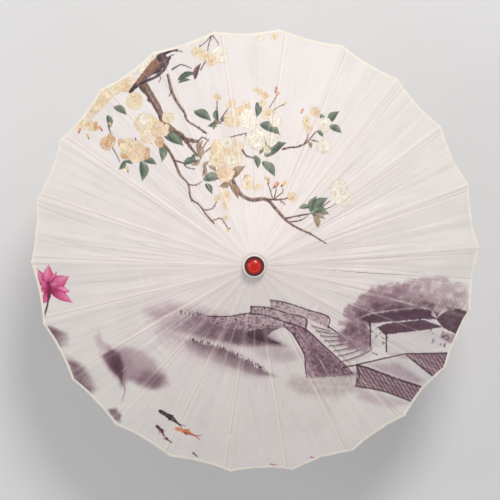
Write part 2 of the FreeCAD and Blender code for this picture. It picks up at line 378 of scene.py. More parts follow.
# %% One brush stroke
def smooth_line(points, steps=9):
    """A smooth line through the given points."""
    p = np.array(points, float)
    ends = np.vstack([2 * p[0] - p[1], p, 2 * p[-1] - p[-2]])
    line = []
    for i in range(1, len(ends) - 2):
        a, b, c, d = ends[i - 1:i + 3]
        for t in np.arange(steps) / steps:
            line.append(0.5 * (2 * b + (c - a) * t + (2 * a - 5 * b + 4 * c - d) * t * t
                               + (3 * b - a - 3 * c + d) * t**3))
    return np.array(line + [p[-1]])


def stroke(points, width, colour, cover=1.0, soft=0.6, streak=0.25, seed=5, shade=None):
    """A brushed line. width is one number, or one for each end; shade colours its lower side."""
    line = smooth_line(points)
    first, last = (width, width) if np.isscalar(width) else width
    margin = max(first, last) / 2 + 2
    found = near(line.min(0) - margin, line.max(0) + margin)
    spot = plan[found]
    best, where, sidedness = np.full(len(found), 1e9), np.zeros(len(found)), np.zeros(len(found))
    for i in range(len(line) - 1):
        a, run = line[i], line[i + 1] - line[i]
        t = np.clip(((spot - a) @ run) / max(run @ run, 1e-9), 0, 1)
        away = spot - a - t[:, None] * run
        distance = np.hypot(away[:, 0], away[:, 1])
        closer = distance < best
        best[closer] = distance[closer]
        where[closer] = (i + t[closer]) / (len(line) - 1)
        sidedness[closer] = (run[0] * away[closer, 1] - run[1] * away[closer, 0]) / max(np.hypot(*run), 1e-9)
    half_width = (first + (last - first) * where) / 2
    half_width = half_width * (1 + 0.18 * cloud(where * 14 + seed, 0 * where, seed))
    amount = smooth(soft, -soft, best - half_width) * cover
    amount = amount * (1 - streak * smooth(0, 0.8, grain(found, 1.6, seed)))
    colours = np.tile(np.asarray(colour, float), (len(found), 1))
    if shade is not None:
        mix = smooth(-0.3, 0.9, -sidedness / np.maximum(half_width, 0.3))[:, None]
        colours = colours * (1 - mix) + np.asarray(shade) * mix
    lay_seen(found, amount, colours)


# %% [markdown]
# ### Leaves
# A leaf is a pointed oval: green, darker on one side of its midrib, with a pale midrib and a few
# side veins. Some are turned, and show their brown backs.

# %% One leaf
LEAF_GREEN = np.array([0.45, 0.51, 0.42])
LEAF_DARK = np.array([0.29, 0.35, 0.30])
LEAF_BROWN = np.array([0.70, 0.55, 0.44])


def pointed_shape(root, tip, fullness, curl):
    """Points in a pointed oval: their cover, place along and across it, and its half width there."""
    root, tip = np.array(root, float), np.array(tip, float)
    length = np.hypot(*(tip - root))
    ahead = (tip - root) / length
    beside = np.array([-ahead[1], ahead[0]])
    found = near(np.minimum(root, tip) - length * 0.5, np.maximum(root, tip) + length * 0.5)
    spot = plan[found] - root
    u = spot @ ahead / length
    v = spot @ beside / length - curl * np.sin(math.pi * np.clip(u, 0, 1))
    part = np.clip(u, 0, 1)
    edge = fullness / 2 * np.sin(math.pi * part**0.8) ** (0.75 + 0.65 * part)
    soft = 0.5 / length
    amount = smooth(soft, -soft, np.abs(v) - edge) * smooth(-0.01, 0.02, u) * smooth(1.01, 0.98, u)
    inside = amount > FAINTEST
    return found[inside], amount[inside], u[inside], v[inside], edge[inside], length


def leaf(root, tip, fullness=0.42, colour=LEAF_GREEN, dark=LEAF_DARK, seed=1, curl=0.12):
    """A leaf from its stalk to its point."""
    found, amount, u, v, edge, length = pointed_shape(root, tip, fullness, curl)
    mix = smooth(-0.08, 0.12, v + 0.05 * grain(found, 5, 59 + seed))[:, None]
    body = dark * (1 - mix) + colour * mix
    body = body * (1 + 0.16 * grain(found, 2.0, 60 + seed))[:, None]
    vein = np.exp(-(v / (0.35 / length + 0.008)) ** 2)
    ribs = 0.5 * np.exp(-((((u - np.abs(v) * 1.3) * 6) % 1 - 0.5) / 0.12) ** 2)
    pale = (0.5 * np.clip(0.6 * vein + 0.5 * ribs, 0, 0.8))[:, None]
    body = body * (1 - pale) + np.array([0.70, 0.74, 0.62]) * pale
    rim = smooth(0.7, 1.0, np.abs(v) / np.maximum(edge, 1e-6))[:, None]
    lay(found, 0.95 * amount, body * (1 - 0.30 * rim))


# %% [markdown]
# ### Blossoms
# A double blossom is three rings of petals, each ring smaller and laid over the one before. A
# small one has two. A petal is a rounded wedge: pale at its brim, warmer and darker towards the
# middle, with a thin darker edge where the next one starts. No two petals have the same length,
# turn or tone.

# %% One petal
CREAM = np.array([0.988, 0.942, 0.840])
APRICOT = np.array([0.925, 0.800, 0.620])
WHITE = np.array([0.990, 0.982, 0.950])
OCHRE = np.array([0.80, 0.60, 0.42])
CORAL = np.array([0.93, 0.62, 0.45])
petal_rng = np.random.default_rng(2024)


def petal(x, y, direction, length, width, brim, base):
    """A petal that grows from a point in a direction."""
    found = near((x - length * 1.2, y - length * 1.2), (x + length * 1.2, y + length * 1.2))
    dx, dy = plan[found, 0] - x, plan[found, 1] - y
    u = (dx * math.cos(direction) + dy * math.sin(direction)) / length
    v = (-dx * math.sin(direction) + dy * math.cos(direction)) / length
    inside = np.clip(u, 0, 1)
    edge = width * np.sqrt(np.sin(math.pi * inside**1.35) + 1e-9) * (1 + 0.26 * grain(found, 3.0, 70))
    notch = 1 - 0.09 * np.exp(-(v / 0.12) ** 2)
    amount = smooth(0.45 / length, -0.45 / length, np.abs(v) - edge) * smooth(notch + 0.02, notch - 0.04, u)
    amount = amount * smooth(-0.02, 0.03, u)
    share = np.clip(np.maximum(u, 0.75 * np.abs(v) / np.maximum(edge, 1e-6)), 0, 1)
    blend = (share**0.75)[:, None]
    colour = base * (1 - blend) + brim * blend
    streak = 0.05 * np.cos(v / np.maximum(u, 0.15) * 26) * (1 - share)
    outline = smooth(0.80, 1.0, np.maximum(np.abs(v) / np.maximum(edge, 1e-6), u / notch))
    dark = 0.22 * outline + streak + 0.06 * grain(found, 2.0, 71)
    colour = colour * (1 - dark[:, None] * np.array([0.6, 0.9, 1.35]))
    lay_seen(found, amount, colour)


# %% One blossom
def blossom(x, y, size, outer=CREAM, inner=APRICOT, flat=1.0):
    """A blossom of rings of petals. flat squeezes it as if seen from the side."""
    turn = petal_rng.uniform(0, 2 * math.pi)
    tilt = petal_rng.uniform(0, math.pi)
    double = size > 9
    three_rings = ((1.0, 6, 0.52), (0.70, 5, 0.54), (0.42, 4, 0.52))
    two_rings = ((1.0, 4, 0.62), (0.55, 3, 0.56))
    for reach_here, petals, width in three_rings if double else two_rings:
        turn += 0.6
        for number in petal_rng.permutation(petals):
            direction = turn + number * 2 * math.pi / petals + petal_rng.uniform(-0.16, 0.16)
            squeeze = 1 - (1 - flat) * abs(math.sin(direction - tilt))
            length = size * reach_here * petal_rng.uniform(0.74, 1.16) * squeeze
            mood = petal_rng.uniform(0.93, 1.03)
            warmth = petal_rng.uniform(0.0, 0.30)
            brim = (outer * (1 - warmth) + inner * warmth) * mood
            if petal_rng.uniform() < 0.3:
                brim = 0.45 * brim + 0.55 * WHITE
            petal(x, y, direction, length, width * petal_rng.uniform(0.9, 1.1), brim, inner * mood * 0.97)
    for stamen in range(5 if double else 2):
        direction = turn + stamen * 2 * math.pi / 5
        away = size * petal_rng.uniform(0.06, 0.26)
        sx, sy = x + away * math.cos(direction), y + away * math.sin(direction)
        found = near((sx - 1.5, sy - 1.5), (sx + 1.5, sy + 1.5))
        dot = np.exp(-((plan[found, 0] - sx) ** 2 + (plan[found, 1] - sy) ** 2) / 0.7)
        lay(found, 0.55 * dot, OCHRE * 0.92)


def bud(x, y, size, colour=APRICOT, toward=(0.0, -1.0)):
    """A closed bud: a drop of petal with a dark foot."""
    way = np.array(toward, float) / np.hypot(*toward)
    foot = np.array([x, y]) - way * size
    stroke([foot, (x, y), np.array([x, y]) + way * size], (size * 0.9, size * 1.5), colour,
           soft=0.5, streak=0.1, shade=colour * 0.86)
    stroke([foot - way * size * 0.5, foot + way * size * 0.3], (1.2, size * 0.7), (0.50, 0.33, 0.26))


# %% [markdown]
# ### The blossom branch
# A gnarled branch comes in from the upper left edge and splits into twigs, each ending in
# flowers. The wood is laid first, then leaves, then blossoms over both, so that each layer hides
# what it should. A limb is a list of points along it, with its width at either end.

# %% Branches and twigs
BARK = np.array([0.53, 0.41, 0.36])
BARK_DARK = np.array([0.35, 0.26, 0.25])
TWIG = np.array([0.42, 0.28, 0.27])
limbs = [
    ([(-203, 312), (-186, 290), (-170, 264), (-160, 242), (-142, 226), (-124, 214), (-100, 209)], (16, 6)),
    ([(-142, 227), (-126, 217), (-113, 200), (-100, 184)], (9, 4)),
    ([(-186, 291), (-190, 282), (-182, 276)], (4, 2.5)),
    ([(-155, 326), (-147, 297), (-136, 276), (-124, 259), (-119, 246), (-102, 235), (-85, 224)], (5.5, 3)),
    ([(-147, 298), (-152, 288)], (3, 1.4)),
    ([(-167, 212), (-152, 194), (-141, 175), (-131, 152), (-116, 135), (-111, 111), (-96, 100),
      (-84, 84), (-70, 69)], (5, 2.2)),
    ([(-141, 176), (-126, 172), (-118, 164), (-104, 162)], (3, 1.3)),
    ([(-116, 135), (-104, 134), (-92, 140)], (2.6, 1.2)),
    ([(-86, 92), (-74, 94), (-66, 106)], (2.6, 1.3)),
    ([(-72, 74), (-60, 78), (-54, 74), (-46, 61)], (2.2, 1.2)),
    ([(-42, 206), (-25, 200), (-15, 186), (2, 180)], (4, 2)),
    ([(-52, 214), (-35, 219), (-14, 224)], (3, 1.6)),
    ([(-100, 209), (-92, 216), (-82, 212)], (3, 1.4)),
    ([(-92, 196), (-86, 206), (-80, 214)], (2, 1)),
    ([(-88, 190), (-78, 198), (-70, 204)], (2, 1)),
    ([(-72, 232), (-64, 244), (-58, 240)], (2.5, 1.2)),
    ([(-64, 246), (-66, 268), (-66, 284)], (2, 1)),
    ([(-60, 248), (-50, 262), (-42, 274)], (2, 1)),
    ([(50, 196), (62, 199), (76, 200), (92, 208), (108, 226)], (4, 2.2)),
    ([(88, 206), (94, 220), (90, 240)], (2, 1.1)),
    ([(100, 212), (114, 208), (124, 203)], (2, 1.1)),
    ([(-40, 147), (-26, 122), (-6, 110), (20, 111), (36, 96), (54, 76), (72, 63), (98, 50), (125, 33)],
     (7.5, 2.6)),
    ([(18, 111), (46, 110), (66, 115)], (3.4, 1.8)),
    ([(44, 110), (54, 101)], (2.6, 1)),
    ([(32, 111), (28, 124), (22, 142)], (1.8, 1)),
    ([(34, 112), (38, 126), (36, 132)], (1.8, 1)),
    ([(36, 112), (48, 122), (50, 130)], (1.8, 1)),
    ([(54, 78), (76, 82), (100, 86), (116, 94), (132, 106)], (3.2, 1.6)),
    ([(60, 72), (80, 74), (94, 82)], (2.6, 1.2)),
    ([(112, 90), (130, 94), (148, 104)], (1.8, 1)),
    ([(-262, 235), (-258, 222), (-256, 214)], (2.2, 1.2)),
    ([(-256, 200), (-246, 184), (-240, 172)], (2, 1.1)),
    ([(-212, 214), (-206, 196), (-196, 196)], (2.4, 1.2)),
    ([(-76, 398), (-88, 384), (-104, 372)], (2, 1)),
    ([(-76, 398), (-82, 380), (-84, 366)], (2, 1)),
    ([(-76, 398), (-66, 384), (-62, 370)], (2, 1)),
    ([(-86, 352), (-92, 342), (-96, 334)], (2.4, 1.4)),
    ([(22, 262), (34, 280), (40, 290)], (1.8, 0.9)),
    ([(26, 256), (40, 268), (52, 274)], (1.8, 0.9)),
]
for number, (points, width) in enumerate(limbs):
    bark = BARK if width[0] > 4 else TWIG
    stroke(points, width, bark, streak=0.2, seed=200 + number, shade=BARK_DARK)
print(len(limbs), "limbs")


# %% [markdown]
# Short dark marks across the thick limb make it look like bark. They are strewn by a seeded
# draw along its line.

# %% Bark marks and knots
bark_rng = np.random.default_rng(91)
thick_limb = smooth_line(limbs[0][0], 14)
for spot in thick_limb[3:-4]:
    shift = bark_rng.uniform(-5.5, 5.5, 2)
    length = bark_rng.uniform(3, 7)
    start = spot + shift
    light = bark_rng.uniform() < 0.35
    stroke([start, start + (0.45 * length, -0.9 * length)], (1.5, 0.6),
           (0.66, 0.54, 0.47) if light else BARK_DARK, cover=0.7, seed=9)
for spot in thick_limb[8:-10:7]:
    stroke([spot + (-4, 2), spot + (3, -1)], (3.0, 1.4), (0.24, 0.17, 0.17), cover=0.6, seed=10)
for points, width in limbs[1:]:
    for spot in smooth_line(points, 5)[2:-1:3]:
        jut = bark_rng.uniform(-3.5, 3.5, 2)
        stroke([spot, spot + jut], (max(1.2, width[1]), 0.8), TWIG * 0.9, cover=0.9, seed=15)

# %% Leaves, green and turned
green_leaves = [
    ((-252, 270), (-228, 254)), ((-264, 255), (-260, 230)), ((-160, 220), (-124, 200)),
    ((-158, 222), (-138, 206)), ((-166, 205), (-164, 172)), ((-230, 175), (-243, 158)),
    ((-230, 174), (-216, 168)), ((-200, 176), (-200, 138)), ((-196, 176), (-172, 168)),
    ((-107, 262), (-76, 244)), ((-67, 246), (-65, 268)), ((-125, 171), (-98, 176)),
    ((-104, 188), (-116, 176)), ((-90, 144), (-54, 146)), ((-86, 137), (-74, 118)),
    ((5, 278), (3, 250)), ((10, 240), (46, 220)), ((30, 238), (48, 246)), ((-15, 222), (-13, 205)),
    ((15, 216), (8, 186)), ((18, 184), (58, 207)), ((0, 186), (6, 162)), ((14, 175), (36, 148)),
    ((130, 240), (152, 262)), ((132, 236), (155, 222)), ((115, 258), (122, 240)),
    ((98, 88), (110, 116)), ((103, 90), (131, 112)), ((78, 96), (98, 95)), ((102, 90), (132, 82)),
    ((100, 88), (112, 72)), ((-66, 244), (-84, 236)), ((-60, 244), (-46, 250)), ((110, 228), (122, 216)),
]
brown_leaves = [
    ((-101, 206), (-95, 176)), ((-86, 166), (-92, 148)), ((-40, 146), (-14, 168)), ((-42, 138), (-28, 110)),
    ((-40, 144), (-64, 132)), ((-98, 196), (-90, 212)), ((-80, 168), (-66, 156)), ((104, 82), (111, 58)),
    ((106, 84), (124, 74)), ((-72, 246), (-62, 238)), ((-96, 178), (-112, 168)), ((-90, 164), (-78, 176)),
    ((94, 210), (100, 196)),
]
for number, (root, tip) in enumerate(green_leaves):
    leaf(root, tip, fullness=0.44, seed=number)
for number, (root, tip) in enumerate(brown_leaves):
    leaf(root, tip, fullness=0.42, colour=LEAF_BROWN, dark=LEAF_BROWN * 0.78, seed=50 + number)
print(len(green_leaves) + len(brown_leaves), "leaves")

# %% Blossoms and buds
cream_blossoms = [
    (-300, 262, 15), (-318, 240, 12), (-284, 274, 16), (-300, 238, 13), (-272, 287, 17), (-230, 310, 17),
    (-238, 320, 13), (-214, 280, 18), (-250, 302, 14), (-172, 230, 21), (-194, 240, 25), (-190, 216, 14),
    (-225, 200, 15), (-212, 191, 21), (-155, 250, 13), (-103, 366, 11), (-86, 360, 12), (-76, 350, 10),
    (-66, 287, 10), (-42, 276, 10), (-38, 248, 19), (-24, 258, 12), (26, 257, 13), (14, 276, 9),
    (6, 298, 9), (18, 290, 9), (-14, 272, 10), (-54, 194, 23), (-34, 182, 20), (-52, 157, 17), (-68, 178, 13),
    (-32, 202, 14), (92, 246, 10), (108, 260, 10), (96, 232, 9), (-12, 137, 13), (6, 132, 9),
    (-50, 117, 12), (-62, 112, 8), (-50, 99, 9), (-50, 80, 8), (66, 114, 10), (36, 395, 8), (22, 196, 9),
]
white_blossoms = [
    (122, 201, 14), (-188, 355, 17), (-204, 345, 14), (-176, 343, 11), (-222, 336, 13), (-12, 248, 21),
                  (2, 212, 18),
    (31, 212, 12), (36, 246, 12), (124, 239, 14), (150, 126, 17), (160, 106, 16), (142, 116, 10), (9, 393, 8),
    (-60, 362, 15), (-48, 208, 13), (-40, 178, 9), (-196, 250, 11),
]
apricot_blossoms = [(-264, 206, 18), (-238, 206, 10), (-14, 142, 10), (-288, 234, 11), (-194, 188, 11),
                    (-230, 184, 9), (-168, 208, 10)]
for x, y, size in apricot_blossoms:
    blossom(x, y, size, outer=APRICOT * (0.97, 0.94, 0.93), inner=APRICOT * 0.5 + CORAL * 0.42, flat=0.85)
for number, (x, y, size) in enumerate(cream_blossoms):
    blossom(x, y, size, inner=CORAL * 0.5 + APRICOT * 0.5 if number % 4 == 1 else APRICOT,
            flat=petal_rng.uniform(0.55 if size < 12 else 0.8, 1.0))
for x, y, size in white_blossoms:
    blossom(x, y, size, outer=WHITE, inner=CREAM)
buds = [
    (24, 141, 4.0), (37, 134, 4.4), (50, 136, 4.2), (38, 299, 3.6), (-45, 59, 3.0), (22, 145, 2.8),
    (-226, 158, 3.2), (41, 292, 2.8), (53, 275, 2.4), (-316, 226, 3.0), (-300, 216, 3.0),
    (-276, 230, 3.4), (-258, 238, 2.6), (84, 262, 2.8),
]
for number, (x, y, size) in enumerate(buds):
    warm = np.array([0.90, 0.62, 0.46]) if number % 2 else np.array([0.95, 0.82, 0.58])
    bud(x, y, size, warm, toward=(math.sin(number), 1.0 if y > 120 else -1.0))
print(len(cream_blossoms) + len(white_blossoms) + len(apricot_blossoms), "blossoms,", len(buds), "buds")

# %% [markdown]
# ### A songbird on the branch
# No kind of bird in particular: a plump brown body, a dark cap, back and tail, and a pale cheek.
# It is a handful of strokes, each laid over the last, with fine ones for the feathers.

# %% The bird
BIRD_BROWN = np.array([0.60, 0.44, 0.36])
BIRD_DARK = np.array([0.25, 0.18, 0.22])
BIRD_GREY = np.array([0.45, 0.36, 0.38])
stroke([(-223, 296), (-212, 308), (-200, 321)], (6, 11), BIRD_DARK, seed=301)
stroke([(-206, 313), (-194, 327), (-180, 340), (-167, 350)], (12, 24), BIRD_BROWN, seed=302, shade=BIRD_GREY)
stroke([(-178, 339), (-166, 351), (-157, 358)], (24, 17), BIRD_BROWN, seed=303, shade=BIRD_DARK)
stroke([(-204, 311), (-190, 317), (-176, 323), (-162, 335), (-156, 348)], (5, 5), BIRD_DARK, cover=0.9,
       seed=304)
stroke([(-168, 357), (-158, 363), (-149, 366)], (13, 11), BIRD_DARK, seed=305)
stroke([(-156, 361), (-149, 364), (-143, 366)], (5, 5), (0.94, 0.92, 0.90), seed=306)
stroke([(-158, 368), (-148, 372), (-140, 371)], (5, 4), BIRD_DARK, seed=307)
stroke([(-141, 369), (-135, 369), (-129, 367)], (3.4, 0.8), (0.36, 0.28, 0.28), seed=308)
stroke([(-149, 370), (-146, 371)], (2.2, 1.8), (0.80, 0.28, 0.36), seed=309)
stroke([(-170, 327), (-168, 319), (-172, 313)], (1.6, 1.2), (0.35, 0.22, 0.2), seed=310)
feather_rng = np.random.default_rng(17)
for _ in range(26):
    t = feather_rng.uniform(0, 1)
    start = np.array([-204, 315]) * (1 - t) + np.array([-166, 351]) * t + feather_rng.uniform(-6, 6, 2)
    ink = BIRD_DARK if feather_rng.uniform() < 0.5 else np.array([0.74, 0.58, 0.48])
    stroke([start, start + (-5.5, -4.5)], (1.5, 0.6), ink, cover=0.55, seed=11)
for root, tip, dark in (((-137, 317), (-101, 329), 0.8), ((-136, 312), (-112, 317), 1.0)):
    leaf(root, tip, fullness=0.26, colour=np.array([0.34, 0.36, 0.36]) * dark, seed=70)
leaf((-106, 318), (-94, 348), fullness=0.28, colour=np.array([0.62, 0.34, 0.44]), dark=BIRD_DARK, seed=71)
stroke([(-147, 336), (-131, 344), (-113, 338)], (3.2, 1.6), (0.36, 0.32, 0.34), seed=72)

# %% [markdown]
# ### Ink wash
# The lower half is a river town in thinned ink: an arched bridge, banks, trees and roofs. A wash
# is a closed outline filled with uneven ink, dark at one side and fading out at another. The
# outlines wander a little, because a brush does.

# %% Filled washes
INK = np.array([0.40, 0.27, 0.33])
INK_SOFT = np.array([0.60, 0.46, 0.51])
INK_DARK = np.array([0.24, 0.14, 0.19])


def inside_and_edge(spot, corners):
    """Whether points lie in an outline, and how far they are from it."""
    inside = np.zeros(len(spot), bool)
    distance = np.full(len(spot), 1e9)
    for i in range(len(corners)):
        a, b = corners[i - 1], corners[i]
        crosses = (a[1] > spot[:, 1]) != (b[1] > spot[:, 1])
        rise = b[1] - a[1] if abs(b[1] - a[1]) > 1e-9 else 1e-9
        inside ^= crosses & (spot[:, 0] < (b[0] - a[0]) * (spot[:, 1] - a[1]) / rise + a[0])
        run = b - a
        t = np.clip(((spot - a) @ run) / max(run @ run, 1e-9), 0, 1)
        away = spot - a - t[:, None] * run
        distance = np.minimum(distance, np.hypot(away[:, 0], away[:, 1]))
    return inside, distance


def wash(corners, colour, cover=1.0, soft=1.0, wander=1.2, mottled=0.25, size=6.0, seed=3, fade=None,
         dry=0.3):
    """Fill an outline with uneven ink. fade is (x, y, x, y): full at the first, gone at the second."""
    corners = np.array(corners, float)
    found = near(corners.min(0) - soft - 4, corners.max(0) + soft + 4)
    spot = plan[found]
    ripple = 5.0 if soft < 3 else 16.0
    shake = wander * np.stack([grain(found, ripple, seed + 1), grain(found, ripple, seed + 2)], axis=-1)
    inside, distance = inside_and_edge(spot + shake, corners)
    amount = smooth(-soft, soft, np.where(inside, distance, -distance)) * cover
    amount = amount * (1 - mottled * smooth(-0.3, 0.8, grain(found, size, seed, 3)))
    amount = amount * (1 - dry * smooth(0.0, 0.7, grain(found, 1.7, seed + 3)))
    if fade is not None:
        start, end = np.array(fade[:2], float), np.array(fade[2:], float)
        way = end - start
        amount = amount * smooth(1, 0, ((spot - start) @ way) / (way @ way))
    lay_seen(found, amount, colour)


def hatch(corners, colour, direction, pitch, thick, cover=0.8, seed=4):
    """Even lines inside an outline, as tiles or planks are drawn."""
    corners = np.array(corners, float)
    found = near(corners.min(0), corners.max(0))
    spot = plan[found]
    inside = inside_and_edge(spot, corners)[0]
    turn = math.radians(direction)
    beside = -spot[:, 0] * math.sin(turn) + spot[:, 1] * math.cos(turn) + 0.7 * grain(found, 12, seed)
    line = smooth(thick, thick * 0.35, np.abs((beside / pitch) % 1 - 0.5) * pitch)
    amount = line * inside * cover * (0.7 + 0.3 * grain(found, 3, seed + 1))
    lay_seen(found, amount, colour)


# %% Banks and mist
wash([(-196, -92), (-150, -74), (-90, -84), (-30, -100), (20, -112), (40, -140), (52, -152), (10, -152),
      (-40, -150), (-100, -140), (-170, -126)], INK_SOFT, 0.55, soft=15, mottled=0.4, size=16, seed=401)
wash([(-150, -98), (-104, -94), (-70, -100), (-34, -108), (0, -118), (28, -134), (52, -151), (20, -151),
      (-28, -150), (-82, -138), (-146, -126)], INK, 0.72, soft=6, mottled=0.35, size=12, seed=402,
     fade=(-78, -112, -156, -104))
wash([(-60, -118), (-20, -124), (20, -138), (46, -150), (10, -149), (-30, -144), (-60, -132)], INK_DARK, 0.45,
     soft=7, mottled=0.3, size=12, seed=403, fade=(-10, -136, -64, -122))
wash([(-176, -128), (-126, -140), (-96, -146), (-46, -156), (-8, -180), (38, -211), (0, -214), (-50, -206),
      (-110, -196), (-180, -180)], INK_SOFT, 0.70, soft=9, mottled=0.35, size=14, seed=404,
     fade=(-40, -158, -66, -212))
wash([(-126, -142), (-94, -147), (-46, -159), (-10, -183), (36, -211), (0, -206), (-52, -192), (-116, -172)],
     INK, 0.75, soft=4, mottled=0.3, size=12, seed=405, fade=(-36, -162, -56, -204))
wash([(-10, -150), (60, -152), (92, -168), (60, -186), (14, -176)], (0.76, 0.68, 0.71), 0.50, soft=10,
     seed=406)
reed_rng = np.random.default_rng(55)
for bank in ([(-132, -92), (-70, -98), (-34, -106), (-2, -117)],
             [(-118, -144), (-60, -154), (-12, -180), (18, -200)]):
    for spot in smooth_line(bank, 30):
        foot = spot + reed_rng.uniform(-2.5, 2.5, 2)
        ink = INK_DARK if reed_rng.uniform() < 0.5 else np.array([0.93, 0.88, 0.88])
        sway = (reed_rng.uniform(-2, 2), reed_rng.uniform(2, 6))
        stroke([foot, foot + sway], (2.4, 1.0), ink, cover=reed_rng.uniform(0.5, 0.95), seed=12)

# %% [markdown]
# The bridge is drawn from back to front: the far parapet, the shadow under the arch, the near
# wall with its courses of stone, and last the flight of steps that comes down to the town.

# %% The bridge
STONE = np.array([0.71, 0.58, 0.62])
far_parapet = [(28, -64), (56, -70), (95, -85), (131, -100), (131, -121), (95, -102), (56, -88), (28, -80)]
near_parapet = [(-6, -76), (24, -78), (58, -90), (91, -101), (91, -121), (58, -107), (24, -93), (-6, -87)]
deck_wall = [(-84, -96), (-46, -95), (-6, -86), (24, -91), (58, -106), (91, -121), (75, -124), (52, -117),
             (20, -117), (-6, -121), (-46, -117), (-84, -108)]
spandrel = [(52, -114), (91, -120), (125, -155), (160, -190), (186, -214), (96, -216), (91, -196), (89, -170),
            (77, -145), (66, -126)]
arch_shadow = [(-16, -127), (0, -116), (25, -110), (50, -114), (30, -124), (22, -134), (46, -147), (24, -146),
               (-6, -136)]
wash(arch_shadow, INK_DARK, 0.82, soft=1.4, seed=411)
wash(far_parapet, STONE, 0.80, soft=0.9, size=4, seed=412)
wash(deck_wall, STONE, 0.82, soft=1.2, size=4, mottled=0.4, seed=413)
wash(near_parapet, STONE, 0.86, soft=0.9, size=4, seed=414)
wash(spandrel, (0.62, 0.48, 0.53), 0.94, soft=1.2, size=4, mottled=0.25, seed=415)
wash([(96, -150), (125, -165), (160, -196), (186, -214), (120, -215), (100, -190)], INK, 0.55, soft=9,
     seed=416)
mason_rng = np.random.default_rng(77)


def masonry(corners, count, direction):
    """Short dabs of dark and light ink that read as worn stones."""
    corners = np.array(corners, float)
    spots = mason_rng.uniform(corners.min(0), corners.max(0), (count, 2))
    for spot in spots[inside_and_edge(spots, corners)[0]]:
        turn = math.radians(direction + mason_rng.choice((0, 0, 0, 90)) + mason_rng.uniform(-9, 9))
        run = mason_rng.uniform(2, 5.5) * np.array([math.cos(turn), math.sin(turn)])
        ink = (INK_DARK, INK, INK, np.array([0.86, 0.75, 0.78]))[mason_rng.choice(4)]
        stroke([spot, spot + run], (1.9, 0.9), ink, cover=mason_rng.uniform(0.35, 0.85), streak=0.4, seed=14)


masonry(spandrel, 620, -52)
masonry(near_parapet, 230, -22)
masonry(far_parapet, 230, -22)
masonry(deck_wall, 520, -12)
for outline in (near_parapet[:5], far_parapet[:5], [(91, -101), (91, -121)], [(-6, -76), (-6, -88)],
                [(66, -126), (77, -145), (89, -170), (91, -196), (94, -214)],
                [(-84, -96), (-46, -95), (-6, -87)], [(52, -114), (66, -126)],
                [(-6, -89), (24, -94), (58, -108), (91, -122), (127, -157), (166, -196)],
                [(131, -118), (175, -150), (222, -177)]):
    stroke(outline, (2.6, 2.0), INK_DARK, cover=0.92, seed=421)
wash([(94, -106), (130, -121), (221, -176), (167, -196)], (0.88, 0.84, 0.84), 0.85, soft=0.8, seed=422)
STEPS = 9
for step in range(1, STEPS):
    t = (step / STEPS) ** 1.05
    left = np.array([94, -106]) * (1 - t) + np.array([167, -196]) * t
    right = np.array([130, -121]) * (1 - t) + np.array([221, -176]) * t
    stroke([left, (left + right) / 2 + (0, -1), right - (4, 0)], (2.2, 1.4), INK_DARK, cover=0.85,
           seed=430 + step)
    stroke([left - (0, 3), (left + right) / 2 + (0, -4), right - (6, 3)], (3.0, 1.6), INK_SOFT, cover=0.4,
           seed=450)

# %% [markdown]
# The trees behind the roofs are only soft blots, dark where they crowd together. The roofs are
# dark with lighter walls below, and the nearest two show their rows of tiles.

# %% Trees
tree_rng = np.random.default_rng(64)
crowds = [((172, -132), (22, 34), 34, INK_SOFT), ((180, -100), (22, 26), 30, INK_SOFT),
          ((214, -76), (28, 24), 40, INK_SOFT), ((252, -70), (30, 24), 36, INK_SOFT),
          ((296, -76), (34, 24), 36, (0.70, 0.60, 0.62)), ((350, -86), (40, 26), 40, (0.72, 0.62, 0.63)),
          ((196, -158), (18, 22), 20, INK_SOFT), ((190, -118), (26, 30), 22, INK),
          ((244, -88), (40, 12), 22, INK),
          ((352, -60), (14, 8), 8, (0.76, 0.68, 0.66)), ((310, -92), (36, 10), 14, INK)]
tree_mass = [(155, -132), (164, -108), (175, -93), (184, -74), (206, -46), (252, -44), (308, -36),
             (335, -33), (361, -48), (390, -56), (396, -104), (330, -108), (250, -104), (206, -112),
             (200, -160), (172, -164)]
wash(tree_mass, INK_SOFT, 0.60, soft=4, wander=8, mottled=0.75, size=7, seed=498, dry=0.5,
     fade=(300, -80, 470, -80))
wash([(160, -130), (176, -96), (212, -62), (258, -60), (300, -70), (330, -104), (250, -104),
      (206, -112), (198, -156), (174, -158)],
     INK, 0.55, soft=7, wander=8, mottled=0.85, size=6, seed=497, dry=0.4)
blot_turns = np.arange(0, 2 * math.pi, 0.9)
for number, (middle_spot, spread, count, tone_here) in enumerate(crowds):
    for _ in range(count):
        away = tree_rng.uniform(0, 1) ** 0.6
        turn = tree_rng.uniform(0, 2 * math.pi)
        x = middle_spot[0] + spread[0] * away * math.cos(turn)
        y = middle_spot[1] + spread[1] * away * math.sin(turn)
        size = tree_rng.uniform(4, 9.5)
        if math.hypot(x, y) < 405:
            ring = [(x + size * math.cos(a), y + 0.8 * size * math.sin(a)) for a in blot_turns]
            wash(ring, tone_here, tree_rng.uniform(0.25, 0.65), soft=1.8, wander=3.0, mottled=0.6, size=2.4,
                 seed=500 + number * 7)
for x, y in ((332, -112), (356, -106), (372, -110), (318, -108), (290, -102), (264, -102)):
    for branch in range(7):
        lean = -0.9 + branch * 0.3
        stroke([(x, y), (x + 8 * lean, y + 13), (x + 19 * lean, y + 30)], (1.7, 0.5), INK_DARK, cover=0.5,
               seed=530)

